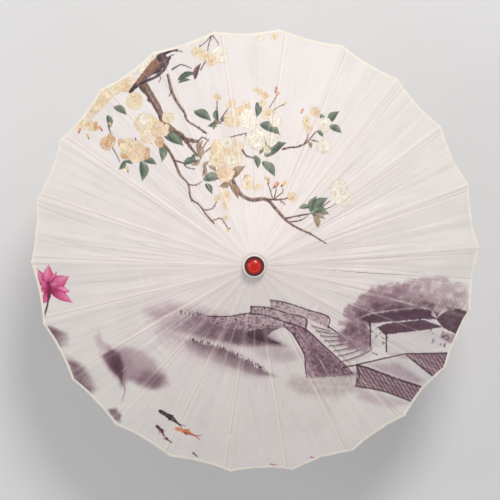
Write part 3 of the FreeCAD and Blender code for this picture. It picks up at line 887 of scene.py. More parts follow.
# %% Houses and tiled roofs
WALL = np.array([0.87, 0.84, 0.84])
ROOF = np.array([0.34, 0.22, 0.28])
wash([(206, -112), (325, -116), (342, -134), (305, -126), (222, -125), (240, -166), (208, -160)], WALL, 0.9,
     seed=541)
wash([(236, -132), (305, -138), (344, -134), (364, -160), (322, -182), (238, -172)], WALL, 0.95, seed=542)
wash([(190, -106), (214, -99), (306, -95), (334, -116), (306, -114), (205, -116)],
     ROOF, 0.95, soft=1.0, seed=543, mottled=0.1, dry=0.1)
stroke([(190, -104), (214, -97), (306, -93), (336, -115)], (1.6, 1.2), (0.90, 0.85, 0.85), cover=0.7,
       seed=560)
wash([(220, -124), (240, -118), (306, -115), (344, -131), (306, -135), (234, -139)],
     ROOF, 0.95, soft=1.0, seed=544, mottled=0.1, dry=0.1)
wash([(330, -116), (346, -103), (372, -98), (400, -110), (392, -134), (378, -152), (346, -133)], ROOF, 0.95,
     soft=1.0, seed=545, mottled=0.15, dry=0.1)
wash([(345, -140), (380, -152), (370, -170), (340, -152)], INK_SOFT, 0.7, soft=3, seed=546)
smudge_rng = np.random.default_rng(73)
for x, y, wide, high in ((212, -128, 8, 14), (232, -146, 7, 12), (334, -150, 14, 14), (352, -160, 12, 12),
                         (372, -156, 10, 12), (206, -152, 6, 14), (366, -132, 12, 8)):
    for _ in range(9):
        spot = np.array([x, y]) + smudge_rng.uniform(-1, 1, 2) * (wide, high)
        stroke([spot, spot + smudge_rng.uniform(-4, 4, 2)], (3.4, 1.2), INK,
               cover=smudge_rng.uniform(0.3, 0.8), seed=561)
front_wall = [(200, -190), (276, -184), (340, -230), (310, -247), (240, -212)]
front_roof = [(274, -178), (357, -182), (352, -214), (338, -232)]
low_roof = [(184, -194), (206, -200), (312, -246), (290, -272), (236, -248), (184, -236)]
wash(front_wall, WALL, 0.92, seed=547)
wash([(206, -196), (262, -196), (312, -232), (300, -240), (240, -214)], INK_SOFT, 0.45, soft=7, seed=548)
wash(front_roof, INK_SOFT, 0.95, soft=0.9, seed=549)
wash(low_roof, INK_SOFT, 0.92, soft=0.9, seed=550)
for roof in (front_roof, low_roof):
    hatch(roof, INK_DARK, -58, 6.0, 1.5, 0.85, seed=551)
    hatch(roof, INK_DARK, -24, 7.5, 1.0, 0.55, seed=552)
for outline in ([(160, -198), (206, -190), (274, -178)], [(274, -178), (306, -206), (338, -233)],
                [(184, -194), (206, -202), (258, -226), (312, -247)], [(184, -236), (236, -249), (290, -273)],
                [(184, -194), (190, -215), (184, -236)], [(207, -113), (209, -160)],
                [(237, -134), (239, -172)], [(274, -178), (357, -182)]):
    stroke(outline, (3.0, 2.2), INK_DARK, cover=0.95, seed=553)
wash([(240, -175), (322, -184), (345, -176), (330, -196), (270, -186)], INK_SOFT, 0.5, soft=5, seed=554)
wash([(186, -240), (236, -254), (290, -276), (250, -284), (190, -262)], INK_SOFT, 0.35, soft=8, seed=555)
wash([(70, -214), (180, -216), (196, -240), (150, -258), (92, -250), (60, -230)],
     (0.70, 0.62, 0.59), 0.55, soft=12, mottled=0.5, size=7, wander=6, seed=556)
wash([(20, -150), (60, -160), (76, -180), (40, -180), (10, -165)], (0.72, 0.66, 0.68), 0.45, soft=9, seed=557)

# %% [markdown]
# ### Lotus and fish
# At the left edge a pink lotus stands over blurred leaves, and three small carp swim below. The
# lotus is pointed petals round a dark stalk, lit from the upper side.

# %% The lotus
PINK = np.array([0.87, 0.36, 0.56])
PINK_DEEP = np.array([0.62, 0.14, 0.33])
PINK_PALE = np.array([0.97, 0.66, 0.79])
HEART = (-375, -64)


def lotus_petal(root, tip, fullness, lit):
    """A pointed petal, deep at its foot, pale along the lit side."""
    found, amount, u, v, edge, _ = pointed_shape(root, tip, fullness, 0.04)
    across = v / np.maximum(edge, 1e-6)
    colour = PINK_DEEP + (PINK - PINK_DEEP) * smooth(0.05, 0.55, u)[:, None]
    shine = (lit * smooth(0.2, 0.8, u) * smooth(-0.7, 0.3, across) * smooth(1.05, 0.6, across))[:, None]
    colour = colour * (1 - shine) + PINK_PALE * shine
    lines = 0.10 * np.cos(across * 16) * smooth(1, 0.3, u) + 0.07 * grain(found, 1.8, 95)
    brim = 0.5 * smooth(0.72, 1.0, np.abs(across))
    lay(found, amount, colour * (1 - (lines + brim)[:, None] * np.array([0.5, 1.0, 0.8])))


for tip, fullness, lit in (((-397, -24), 0.44, 0.6), ((-346, -34), 0.34, 0.4), ((-398, -62), 0.5, 0.1),
                           ((-375, -14), 0.46, 0.8), ((-359, -27), 0.34, 0.5), ((-335, -35), 0.50, 0.75),
                           ((-392, -92), 0.46, 0.1), ((-333, -64), 0.42, 0.85), ((-330, -86), 0.36, 0.6),
                           ((-392, -44), 0.60, 0.25), ((-356, -44), 0.5, 0.3)):
    lotus_petal(HEART, tip, fullness, lit)
stroke([(-377, -52), (-375, -62), (-377, -76)], (8, 6), PINK_DEEP * 0.8, cover=0.85, seed=601)
stroke([(-377, -72), (-380, -92), (-386, -112), (-388, -128)], (3.6, 2.8), INK_DARK, cover=0.95, seed=602)

# %% Blurred lotus leaves
wash([(-242, -237), (-264, -206), (-278, -180), (-262, -165), (-236, -160), (-204, -166), (-178, -186),
      (-162, -210), (-158, -230), (-180, -240), (-212, -232), (-230, -228)], INK_SOFT, 0.95, soft=9,
     mottled=0.25, size=30, wander=4, seed=611, dry=0.05, fade=(-236, -236, -176, -110))
wash([(-242, -235), (-263, -205), (-277, -182), (-264, -169), (-244, -172), (-236, -204)], INK, 0.95,
     soft=5, wander=2, seed=612, fade=(-262, -196, -218, -186), dry=0.05)
wash([(-216, -232), (-202, -208), (-180, -204), (-164, -218), (-178, -237), (-204, -237)], INK, 0.5, soft=9,
     wander=3, seed=613, dry=0.05)
wash([(-260, -204), (-256, -186), (-246, -180), (-240, -196), (-242, -226)], INK_DARK, 0.55, soft=6,
     seed=621, dry=0.05)
stroke([(-240, -234), (-238, -250), (-246, -272)], (3, 0.8), INK_SOFT, cover=0.8, soft=0.9, seed=614)
stroke([(-240, -234), (-222, -212), (-198, -200), (-176, -200)], (2.0, 0.8), (0.74, 0.64, 0.67), cover=0.55,
       seed=615)
stroke([(-240, -234), (-238, -208), (-228, -184)], (2.2, 0.8), (0.78, 0.68, 0.71), cover=0.6, seed=622)
wash([(-386, -132), (-373, -134), (-343, -144), (-339, -167), (-357, -172), (-378, -166)], INK, 0.92,
     soft=5, wander=2, seed=616, fade=(-380, -150, -330, -168), dry=0.1)
wash([(-356, -184), (-334, -192), (-314, -210), (-310, -226), (-336, -218), (-356, -202)],
     INK_SOFT, 0.45, soft=10, wander=4, seed=617)
wash([(-345, -198), (-318, -200), (-300, -222), (-292, -250), (-306, -262), (-328, -242)], INK, 0.85, soft=8,
     wander=3, seed=618, fade=(-330, -236, -284, -216), dry=0.1)
wash([(-270, -288), (-258, -284), (-246, -298), (-250, -312), (-262, -306)], INK, 0.75, soft=4, wander=2,
     seed=619)
wash([(-292, -148), (-282, -138), (-276, -156), (-258, -166), (-282, -172)], INK_SOFT, 0.4, soft=7, seed=620)

# %% Three carp
FISH_DARK = np.array([0.17, 0.11, 0.12])
FISH_ORANGE = np.array([0.88, 0.50, 0.30])


def carp(nose, tail, width, colour, fin):
    """A small carp: a tapering body, a forked tail, side fins and a pale streak of light."""
    nose, tail = np.array(nose, float), np.array(tail, float)
    way = (tail - nose) / np.hypot(*(tail - nose))
    beside = np.array([-way[1], way[0]])
    middle = (nose + tail) / 2 + beside * 1.5
    for side in (-1, 1):
        stroke([tail - way * 3, tail + way * 3 + beside * 2 * side, tail + way * 9 + beside * 5 * side],
               (2.6, 0.7), fin, cover=0.85, seed=633)
        root = nose + (middle - nose) * 0.8
        stroke([root, root + way * 3 + beside * 5 * side, root + way * 7 + beside * 7 * side],
               (2.4, 0.8), fin, cover=0.85, seed=634)
    stroke([nose, nose + (middle - nose) * 0.6, middle], (width * 0.7, width), colour, seed=631)
    stroke([middle, (middle + tail) / 2, tail], (width, width * 0.22), colour, seed=632, shade=fin)
    stroke([nose + way * 2, middle, middle + (tail - middle) * 0.5], (1.6, 0.8), (0.90, 0.82, 0.78),
           cover=0.4, streak=0.7, seed=636)


carp((-173, -286), (-137, -312), 10.5, FISH_DARK, FISH_DARK)
carp((-144, -320), (-108, -334), 9.5, FISH_ORANGE, np.array([0.62, 0.16, 0.14]))
carp((-180, -317), (-168, -336), 8.5, FISH_DARK, np.array([0.85, 0.45, 0.62]))
stroke([(-164, -341), (-153, -350)], (4.6, 1.4), FISH_DARK, seed=636)
stroke([(-114, -370), (-106, -378)], (3.4, 1.6), FISH_DARK, seed=637)
stroke([(30, -392), (44, -396)], (3.2, 1.6), (0.80, 0.42, 0.58), seed=638)
stroke([(104, -378), (116, -382)], (3.0, 1.4), (0.78, 0.46, 0.58), seed=639)

# %% [markdown]
# ### Creases, paste and painted light
# The paper is a little creamier where it is pasted on a rib. Over that, painted highlights lighten each
# strip and a soft band beside it, and painted shadow lines run along its edges. Each fold down the middle
# of a panel is painted as a pale line with painted shade beside it, and the creases are painted as pale
# highlight lines and darker shade lines. Close to the hub the gathered pleats are painted as fine light
# and dark lines, and painted shadow darkens the paper round the foot of the cup.

# %% Rib lines, folds and pleats
turn = np.arctan2(plan[:, 1], plan[:, 0]) % (2 * math.pi)
panel_place = turn / (2 * half_panel)
to_rib = np.abs((panel_place + 0.5) % 1 - 0.5)
rib_distance = reach * np.sin(to_rib * 2 * half_panel)
fold_distance = reach * np.sin(np.abs(panel_place % 1 - 0.5) * 2 * half_panel)
signed = ((panel_place + 0.5) % 1 - 0.5) * reach * 2 * half_panel
width_here = 1.7 + 0.9 * smooth(-20, 160, reach - rib_hinge.x / MM)
every = np.arange(len(plan))


def tone_sheet(cover, colour):
    """Lay one colour over the whole sheet."""
    kept = cover[:, None]
    tint[:] = tint * (1 - kept) + np.asarray(colour) * kept


unprinted = 0.4 + 0.6 * smooth(0.45, 0.85, tint.mean(axis=1))
# Painted highlight: a soft lighter band along each rib, patchy along its length and wider than the pasted
# strip.
uneven_rib_highlight = 0.7 + 0.3 * grain(every, 30, 714)
rib_highlight = unprinted * np.exp(-(rib_distance / 6.0) ** 2) * smooth(40, 160, reach) * uneven_rib_highlight
tone_sheet(0.34 * rib_highlight, (0.99, 0.94, 0.91))
# The pasted strip is creamier from the paste, and lighter still as a painted highlight on its ridge.
paste_tone_and_highlight = unprinted * smooth(1.3, -1.1, rib_distance - width_here) * (0.8 + 0.2 * grain(every, 14, 711))
tone_sheet(0.42 * paste_tone_and_highlight * smooth(18, 90, reach), (0.99, 0.935, 0.89))
# Painted shadow lines along both edges of each strip, darker on one side than on the other.
tone_sheet(0.26 * np.exp(-((signed - width_here - 0.6) / 0.6) ** 2) * smooth(55, 150, reach),
           (0.52, 0.43, 0.40))
tone_sheet(0.14 * np.exp(-((signed + width_here + 0.5) / 0.6) ** 2) * smooth(55, 150, reach),
           (0.55, 0.47, 0.44))
# Painted highlight down the fold in the middle of each panel, with painted shade just beside it, patchy along
# its length.
patchy_fold_shading = smooth(-0.2, 0.5, grain(every, 26, 712))
tone_sheet(0.42 * np.exp(-(fold_distance / 0.9) ** 2) * smooth(25, 90, reach) * patchy_fold_shading, (0.995, 0.98, 0.96))
tone_sheet(0.16 * np.exp(-((fold_distance - 1.9) / 1.0) ** 2) * smooth(60, 160, reach) * patchy_fold_shading,
           (0.66, 0.60, 0.60))
# Painted highlight and shade on the gathered pleats near the hub, alternating round each panel.
pleat_light_and_shade = np.cos(panel_place * 6 * math.pi) * np.exp(-reach / 50)
tone_sheet(np.clip(0.12 * pleat_light_and_shade, 0, 1), (0.99, 0.96, 0.94))
tone_sheet(np.clip(-0.10 * pleat_light_and_shade, 0, 1), (0.70, 0.62, 0.60))
# Painted shadow on the paper round the foot of the cup.
tone_sheet(0.30 * smooth(26, 17, reach), (0.62, 0.52, 0.50))
# Crease lines painted over the print: most are pale painted highlights, the rest darker painted shade.
crease_rng = np.random.default_rng(808)
for _ in range(84):
    rib_before = rib_turn(crease_rng.integers(rib_count))
    lean = rib_before + half_panel * crease_rng.uniform(0.25, 1.75) + picture_turn
    start = crease_rng.uniform(70, 290)
    for line in range(crease_rng.integers(1, 5)):
        length = crease_rng.uniform(35, 120)
        spread = crease_rng.uniform(-0.09, 0.09)
        ends = [(start + length * s, lean + spread * s) for s in (0, 0.5, 1) if start + length * s < 400]
        points = [(r * math.cos(a), r * math.sin(a)) for r, a in ends]
        if len(points) > 1:
            pale = crease_rng.uniform() < 0.7
            stroke(points, (1.0, 0.4), (0.995, 0.975, 0.96) if pale else (0.66, 0.59, 0.57),
                   cover=0.52 if pale else 0.22, streak=0.6, seed=13)
print("print is finished")

# %% [markdown]
# The paint is worked out, so it goes onto the meshes as a colour for each point. Blender keeps
# such colours as linear light, so they are converted from the painter's values first.

# %% Give each piece of paper its colours
def to_light(colour):
    """Painter's colour values, 0 to 1, as linear light."""
    colour = np.clip(np.asarray(colour, float), 0, 1)
    return np.where(colour <= 0.04045, colour / 12.92, ((colour + 0.055) / 1.055) ** 2.4)


linear = np.ones((len(tint), 4), np.float32)
linear[:, :3] = to_light(tint)
first_point = 0
for piece, count in zip(paper_pieces, counts):
    layer = piece.data.color_attributes.new("print", "FLOAT_COLOR", "POINT")
    layer.data.foreach_set("color", linear[first_point:first_point + count].ravel())
    first_point += count
print("painted", len(paper_pieces), "pieces")

# %% [markdown]
# ## The cotton edge
# A strip of cotton is folded over the paper's edge and pasted down, above and below, so that the
# rim doesn't tear. It is a flat U in section. Each length of it goes with the piece of paper
# that it edges.

# %% Edge binding
hem_section = [(4.9, 0.05), (4.6, 0.20), (3.4, 0.25), (2.0, 0.24), (0.7, 0.25), (0.1, 0.20), (-0.2, 0.0),
               (0.1, -0.20), (0.7, -0.26), (2.0, -0.25), (3.6, -0.22), (3.9, -0.07)]


def hem_grid(panel, across):
    """The folded strip along one stretch of a panel's edge."""
    rows = []
    for inset, lift in hem_section:
        uneven = 0.25 * cloud(across * 9 + 5 * panel, 0 * across + 3, 901) if inset > 3 else 0
        along = rim_along(panel, across) - (inset + uneven) * MM
        rows.append(paper_point(panel, across, along, lift * MM))
    return np.stack(rows)


hem_tips, hem_halves = [], []
for rib, body in enumerate(rib_names):
    edge = float(strip_share(np.array(rib_reach)))
    after = hem_grid(rib, np.linspace(0, edge, 5))
    before = hem_grid(rib - 1, 1 - np.linspace(0, edge, 5))
    points = np.concatenate([before[:, :0:-1], after], axis=1)
    faces = grid_faces(len(hem_section), 9)
    hem_tips.append(mesh_object("hem_tip_" + body, points.reshape(-1, 3), faces))
    for side in (1, -1):
        share = np.linspace(edge, 0.5, 60)
        points = hem_grid(rib if side > 0 else rib - 1, share if side > 0 else 1 - share)
        faces = grid_faces(len(hem_section), 60)
        name = "hem_%s_%s" % ("after" if side > 0 else "before", body)
        hem_halves.append(mesh_object(name, points.reshape(-1, 3), faces, flip=side < 0))
print(len(hem_tips), "hem tips and", len(hem_halves), "hem halves")

# %% [markdown]
# ## Riding on the ribs
# When the hub slides down, the ribs swing in beside the pole and the paper between them tucks
# into pleats. Here each half panel, with its length of binding, rides on its rib.

# %% Ride on the ribs
for strip, tip, body in zip(strips, hem_tips, rib_names):
    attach(strip, body)
    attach(tip, body)
for (half, rib, side), hem in zip(halves, hem_halves):
    turn = rib_turn(rib)
    sideways = Vector((-math.sin(turn), math.cos(turn), 0.0)) * side
    outward = Vector((math.sin(slope) * math.cos(turn), math.sin(slope) * math.sin(turn), math.cos(slope)))
    beside = Vector((rib_hinge.x * math.cos(turn), rib_hinge.x * math.sin(turn), rib_hinge.z))
    beside += sideways * 2.5 * MM + outward * 5.1 * MM
    for piece in (half, hem):
        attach(piece, rib_names[rib])
        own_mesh(piece)
for piece in paper_pieces:
    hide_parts("canopy")
    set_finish(piece, "oiled_paper")
for piece in hem_tips + hem_halves:
    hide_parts("rim_binding")
    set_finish(piece, "rim_cotton")

# %% [markdown]
# ## Turned pieces
# The handle, its cap, the cream cup and the red bead are all turned on a lathe. Each is one
# outline from the frame's own sizes, with its corners rounded, spun round the pole.

# %% A lathe
def rounded(corners, radii):
    """An outline with an arc-like bend at each inner corner."""
    corners = [np.array(c, float) for c in corners]
    outline = [corners[0]]
    for before, corner, after, radius in zip(corners, corners[1:], corners[2:], radii):
        reach = min(radius, 0.49 * np.hypot(*(corner - before)), 0.49 * np.hypot(*(after - corner)))
        start = corner + (before - corner) / np.hypot(*(before - corner)) * reach
        end = corner + (after - corner) / np.hypot(*(after - corner)) * reach
        for t in np.linspace(0, 1, 7):
            outline.append(start * (1 - t) ** 2 + corner * 2 * t * (1 - t) + end * t * t)
    outline.append(corners[-1])
    return outline


def turned(name, outline, segments=120, shape=None):
    """Spin an outline of (radius, height) in millimetres round the pole."""
    turns = np.arange(segments) * 2 * math.pi / segments
    rings = []
    for radius, height in outline:
        r = radius * (shape(turns, radius, height) if shape else 1.0) * MM
        rings.append(np.stack([r * np.cos(turns), r * np.sin(turns), 0 * turns + height * MM], axis=-1))
    points = np.concatenate(rings)
    piece = mesh_object(name, points, grid_faces(len(outline), segments, closed=True))
    bm = bmesh.new()
    bm.from_mesh(piece.data)
    bmesh.ops.remove_doubles(bm, verts=bm.verts, dist=1e-6)
    bmesh.ops.recalc_face_normals(bm, faces=bm.faces)
    bm.to_mesh(piece.data)
    bm.free()
    return piece


# %% [markdown]
# The grip is a straight round bar that tapers to a neck, with two scored rings where the taper
# starts. It is closed onto the pole at the top, and a thin disc of darker wood caps its end.

# %% Handle and cap
handle = turned("handle_grip", rounded(
    [(4.5, 6), (11.5, 6), (11.5, 69.2), (10.7, 69.6), (10.7, 70.4), (11.5, 70.8), (11.5, 73.2), (10.7, 73.6),
     (10.7, 74.4), (11.5, 74.8), (11.5, 78), (8.0, 92), (6.0, 92), (6.0, 70)],
    [0.8, 0.3, 0.3, 0.3, 0.3, 0.3, 0.3, 0.3, 0.3, 0.3, 3, 1.5, 0.3]))
handle_cap = turned("handle_end_cap", rounded(
    [(0, 0), (7.0, 0), (10.0, 0), (11.5, 0), (11.5, 6), (4.5, 6), (4.5, 18), (0, 18)],
    [0, 0, 1.6, 0.7, 0.2, 0.5]))
print("handle", len(handle.data.vertices), "points")

# %% [markdown]
# The crown is a small cream cup with a soft-edged lip. It was shaped by hand, so it isn't quite
# round. Its foot rests on the gathered paper and hides where the paper ends.

# %% Crown cup
def cup_facets(turns, radius, height):
    """Flats left by the knife: twelve shallow ones, strongest at the lip."""
    flats = np.abs(np.sin(6 * turns + 0.3)) ** 0.7
    return 1 - 0.013 * flats * smooth(526, 536, np.array(height)) * (radius > 14)


crown_cup = turned("crown_cup_cream", rounded(
    [(1.9, 532.2), (13.3, 532.0), (16.0, 525.8), (17.8, 525.8), (18.4, 527.6), (19.0, 531.0), (20.0, 538.5),
     (16.7, 538.3), (16.4, 534.5), (1.9, 534.5)],
    [1, 0.4, 0.8, 1.0, 2.5, 1.5, 1.3, 0.8]), shape=cup_facets)

# %% [markdown]
# The bead is a wooden dome under many coats of red lacquer. Its top has been polished to a small
# flat, with a shallow step round it where the lacquer gathered. A brighter ring is painted on that
# step as a highlight.

# %% Finial bead
bead_outline = [(1.9, 534.6), (12.0, 534.6), (14.6, 536.9), (15.5, 539.2), (15.2, 541.4), (14.2, 543.4),
                (12.4, 545.2), (10.2, 546.4), (8.6, 547.0), (7.8, 547.0), (7.0, 547.5), (3.0, 547.9),
                (0, 548.0)]
finial_bead = turned("finial_bead_lacquer", rounded(bead_outline, [0.6] + [1.6] * 10))
for piece, node in ((handle, "handle"), (handle_cap, "handle_cap"), (crown_cup, "crown_cup"),
                    (finial_bead, "finial_bead")):
    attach(piece, "shaft_frame")
    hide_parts(node)
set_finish(handle, "handle_wood")
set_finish(handle_cap, "cap_wood")
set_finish(crown_cup, "crown_cream")
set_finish(finial_bead, "bead_red")
print("crown and bead are on")

# %% [markdown]
# ## Threads
# The ribs and the stretchers are strung on a ring of waxed thread in a groove of each hub. It is
# two plies laid round each other, so each ring here is two thin tubes twisted together.

# %% Twisted thread rings
def ring_faces(section, around):
    """Faces of a tube that closes both round itself and round the ring."""
    s, a = np.meshgrid(np.arange(section), np.arange(around), indexing="ij")
    s2, a2 = (s + 1) % section, (a + 1) % around
    corners = [s * around + a, s * around + a2, s2 * around + a2, s2 * around + a]
    return np.stack(corners, axis=-1).reshape(-1, 4)


def thread_ring(name, body, node):
    """Two plies twisted into a ring, where the frame's plain ring lies."""
    around, section, twists = 660, 8, 110
    lay_radius, ply_radius = 0.25 * MM, 0.27 * MM
    height = (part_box(node)[0].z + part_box(node)[1].z) / 2
    turns = np.arange(around) * 2 * math.pi / around
    plies, faces = [], []
    for ply in (0, math.pi):
        lay_angle = twists * turns + ply
        centre = rib_hinge.x + lay_radius * np.cos(lay_angle)
        level = height + lay_radius * np.sin(lay_angle)
        rows = []
        for side in np.arange(section) * 2 * math.pi / section:
            r = centre + ply_radius * math.cos(side)
            z = level + ply_radius * math.sin(side)
            rows.append(np.stack([r * np.cos(turns), r * np.sin(turns), z], axis=-1))
        faces.append(ring_faces(section, around) + len(plies) * section * around)
        plies.append(np.stack(rows).reshape(-1, 3))
    piece = mesh_object(name, np.concatenate(plies), np.concatenate(faces), flip=True)
    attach(piece, body)
    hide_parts(node)
    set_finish(piece, "thread")
    return piece


threads = [thread_ring("notch_thread_plies", "shaft_frame", "notch_thread"),
           thread_ring("runner_thread_plies", "runner", "runner_thread")]
print(len(threads), "thread rings")

# %% [markdown]
# # Finishes
# A finish is a small tree of shader nodes: where a point is, what pattern is there, and what
# that does to colour, roughness and relief. A short helper keeps each tree readable. Values that
# are the same all over are set straight on the shader.

# %% A helper for finishes
class Finish:
    """A material under construction."""

    def __init__(self, name, roughness, **values):
        self.material = bpy.data.materials.new(name)
        self.material.use_nodes = True
        self.tree = self.material.node_tree
        self.shader = self.tree.nodes["Principled BSDF"]
        self.shader.inputs["Roughness"].default_value = roughness
        for socket, value in values.items():
            self.shader.inputs[socket.replace("_", " ")].default_value = value

    def add(self, kind, sockets=None, **settings):
        """Add a node. sockets maps an input's name or number to a value or another output."""
        node = self.tree.nodes.new(kind)
        for setting, value in settings.items():
            setattr(node, setting, value)
        for socket, value in (sockets or {}).items():
            if isinstance(value, bpy.types.NodeSocket):
                self.tree.links.new(value, node.inputs[socket])
            else:
                node.inputs[socket].default_value = value
        return node

    def calc(self, operation, *values):
        """One sum on values or outputs."""
        return self.add("ShaderNodeMath", dict(enumerate(values)), operation=operation).outputs[0]

    def place(self):
        """The point's own x, y and z in metres."""
        return self.add("ShaderNodeTexCoord").outputs["Object"]

    def split(self, vector):
        return self.add("ShaderNodeSeparateXYZ", {0: vector}).outputs

    def join(self, x, y, z):
        return self.add("ShaderNodeCombineXYZ", {0: x, 1: y, 2: z}).outputs[0]

    def from_pole(self, x, y):
        """How far a point is from the pole."""
        return self.calc("SQRT", self.calc("ADD", self.calc("MULTIPLY", x, x), self.calc("MULTIPLY", y, y)))

    def ridges(self, along, pitch):
        """Rounded ridges side by side, one to each pitch."""
        return self.calc("ABSOLUTE", self.calc("SINE", self.calc("MULTIPLY", along, math.pi / pitch)))

    def scaled(self, vector, factors):
        return self.add("ShaderNodeVectorMath", {0: vector, 1: factors}, operation="MULTIPLY").outputs[0]

    def noise(self, vector, scale=1.0, detail=2.0, roughness=0.5, distortion=0.0):
        sockets = {"Vector": vector, "Scale": scale, "Detail": detail, "Roughness": roughness,
                   "Distortion": distortion}
        return self.add("ShaderNodeTexNoise", sockets).outputs["Fac"]

    def ramp(self, value, *stops):
        """Colours or greys at places from 0 to 1."""
        node = self.add("ShaderNodeValToRGB", {0: value})
        while len(node.color_ramp.elements) < len(stops):
            node.color_ramp.elements.new(0.5)
        for element, (spot, colour) in zip(node.color_ramp.elements, stops):
            element.position = spot
            colour = (colour,) * 3 if np.isscalar(colour) else colour
            element.color = (*colour, 1.0)
        return node.outputs[0]

    def mix(self, share, first, second, blend="MIX"):
        node = self.add("ShaderNodeMix", {0: share}, data_type="RGBA", blend_type=blend)
        for number, value in ((6, first), (7, second)):
            if isinstance(value, bpy.types.NodeSocket):
                self.tree.links.new(value, node.inputs[number])
            else:
                node.inputs[number].default_value = (*value, 1.0)
        return node.outputs[2]

    def use(self, colour=None, roughness=None, relief=None, depth=0.0001, strength=0.5):
        """Send patterns to the shader."""
        if colour is not None:
            self.tree.links.new(colour, self.shader.inputs["Base Color"])
        if roughness is not None:
            self.tree.links.new(roughness, self.shader.inputs["Roughness"])
        if relief is not None:
            bump = self.add("ShaderNodeBump", {"Height": relief, "Distance": depth, "Strength": strength})
            self.tree.links.new(bump.outputs[0], self.shader.inputs["Normal"])
        return self.material


def light_colour(red, green, blue):
    """A painter's colour as the shader wants it."""
    return tuple(float(v) for v in to_light((red, green, blue)))


# %% [markdown]
# ## Oiled paper
# Mulberry paper has long fibres that show as faint cloudy threads, and tung oil makes it a
# little yellow and slightly shiny. The print comes from the colours painted above. The fibres
# change both the tone and the shine, and give a very fine relief.

# %% Paper
paper = Finish("oiled_paper", 0.55, Specular_IOR_Level=0.35, Sheen_Weight=0.06, Sheen_Roughness=0.6)
spot = paper.place()
printed = paper.add("ShaderNodeAttribute", attribute_name="print").outputs["Color"]
fibre = paper.noise(paper.scaled(spot, (1.0, 1.0, 0.4)), 950, 3, 0.65, 1.6)
blotch = paper.noise(spot, 60, 4, 0.6)
tone_grey = paper.ramp(paper.calc("MULTIPLY_ADD", fibre, 0.6, paper.calc("MULTIPLY", blotch, 0.4)),
                       (0.28, 0.93), (0.5, 0.985), (0.72, 1.0))
sheet_colour = paper.mix(1.0, printed, tone_grey, "MULTIPLY")
shine = paper.ramp(blotch, (0.3, 0.50), (0.7, 0.64))
paper.use(sheet_colour, shine, fibre, depth=0.00006, strength=0.45)

# %% [markdown]
# ## Cotton tape
# The binding is plain woven cotton, two threads to the millimetre, pasted flat and stained
# cream by the oil. Its weave follows the rim, so it is laid out by the distance round the
# umbrella and the distance from the pole.

# %% Cotton
cotton = Finish("rim_cotton", 0.8, Specular_IOR_Level=0.25, Sheen_Weight=0.15)
x, y, z = cotton.split(cotton.place())
from_pole = cotton.from_pole(x, y)
tape_radius = 0.408
thread_pitch = 0.0005
around = cotton.calc("MULTIPLY", cotton.calc("ARCTAN2", y, x), tape_radius)
warp = cotton.ridges(around, thread_pitch)
weft = cotton.ridges(from_pole, thread_pitch)
weave = cotton.calc("MULTIPLY", warp, weft)
stain = cotton.noise(cotton.join(around, from_pole, z), 45, 3, 0.6)
tape = cotton.ramp(stain, (0.25, light_colour(0.945, 0.91, 0.85)), (0.55, light_colour(0.965, 0.942, 0.895)),
                   (0.8, light_colour(0.98, 0.965, 0.93)))
tape = cotton.mix(cotton.ramp(weave, (0.0, 0.10), (0.5, 0.0)), tape, light_colour(0.80, 0.74, 0.64))
cotton.use(tape, relief=weave, depth=0.00008, strength=0.5)


# %% [markdown]
# ## Split bamboo
# Ribs and stretchers are split from one length of bamboo, so each one's grain runs along it and
# differs from the next. Fine dark bundles of fibre streak the pale wood. A node in the bamboo
# shows as a paler ring with a brown line, at a slightly different place on each rib.

# %% Bamboo along each rib
def split_bamboo(name, pale, deep, roughness, node_at):
    """Bamboo whose grain runs outwards from the pole, counted rib by rib."""
    finish = Finish(name, roughness, Specular_IOR_Level=0.4)
    x, y, z = finish.split(finish.place())
    out = finish.from_pole(x, y)
    turn = finish.calc("ARCTAN2", y, x)
    off_line = finish.calc("WRAP", turn, half_panel, -half_panel)
    side = finish.calc("MULTIPLY", off_line, out)
    number = finish.calc("FLOOR", finish.calc("MULTIPLY_ADD", turn, 0.5 / half_panel, 0.5))
    number = finish.calc("WRAP", number, rib_count - 0.5, -0.5)
    down = finish.calc("MULTIPLY_ADD", out, math.tan(slope), z)
    fibre = finish.noise(finish.join(finish.calc("MULTIPLY", side, 2200),
                                     finish.calc("MULTIPLY_ADD", number, 3.7,
                                                 finish.calc("MULTIPLY", down, 2200)),
                                     finish.calc("MULTIPLY", out, 26)), 1.0, 3, 0.6)
    cloudy = finish.noise(finish.join(finish.calc("MULTIPLY", number, 1.9), finish.calc("MULTIPLY", out, 14),
                                      0.0),
                          1.0, 2, 0.5)
    colour = finish.ramp(fibre, (0.30, deep), (0.46, tuple(0.7 * p + 0.3 * d for p, d in zip(pale, deep))),
                         (0.62, pale))
    colour = finish.mix(finish.ramp(cloudy, (0.35, 0.0), (0.75, 0.30)), colour, deep)
    joint = finish.calc("ABSOLUTE", finish.calc("SUBTRACT", out,
                                                finish.calc("MULTIPLY_ADD", cloudy, 0.06, node_at)))
    ring = finish.ramp(finish.calc("MULTIPLY", joint, 250), (0.0, 0.75), (0.22, 0.1), (0.3, 0.0))
    colour = finish.mix(ring, colour, tuple(0.45 * d for d in deep))
    return finish.use(colour, finish.ramp(fibre, (0.3, roughness + 0.1), (0.7, roughness - 0.06)), fibre,
                      depth=0.00012, strength=0.5)


rib_bamboo = split_bamboo("rib_bamboo", light_colour(0.83, 0.69, 0.47), light_colour(0.58, 0.41, 0.23),
                          roughness=0.48, node_at=0.27)
stretcher_bamboo = split_bamboo("stretcher_bamboo", light_colour(0.86, 0.74, 0.53),
                                light_colour(0.62, 0.46, 0.28), roughness=0.52, node_at=0.09)


# %% [markdown]
# ## Pole, handle and hubs
# These stand upright, so their grain runs up them. Stretching the pattern in height turns a
# cloud into long streaks, and the same nodes give bamboo, lacquered wood or a pale pin.

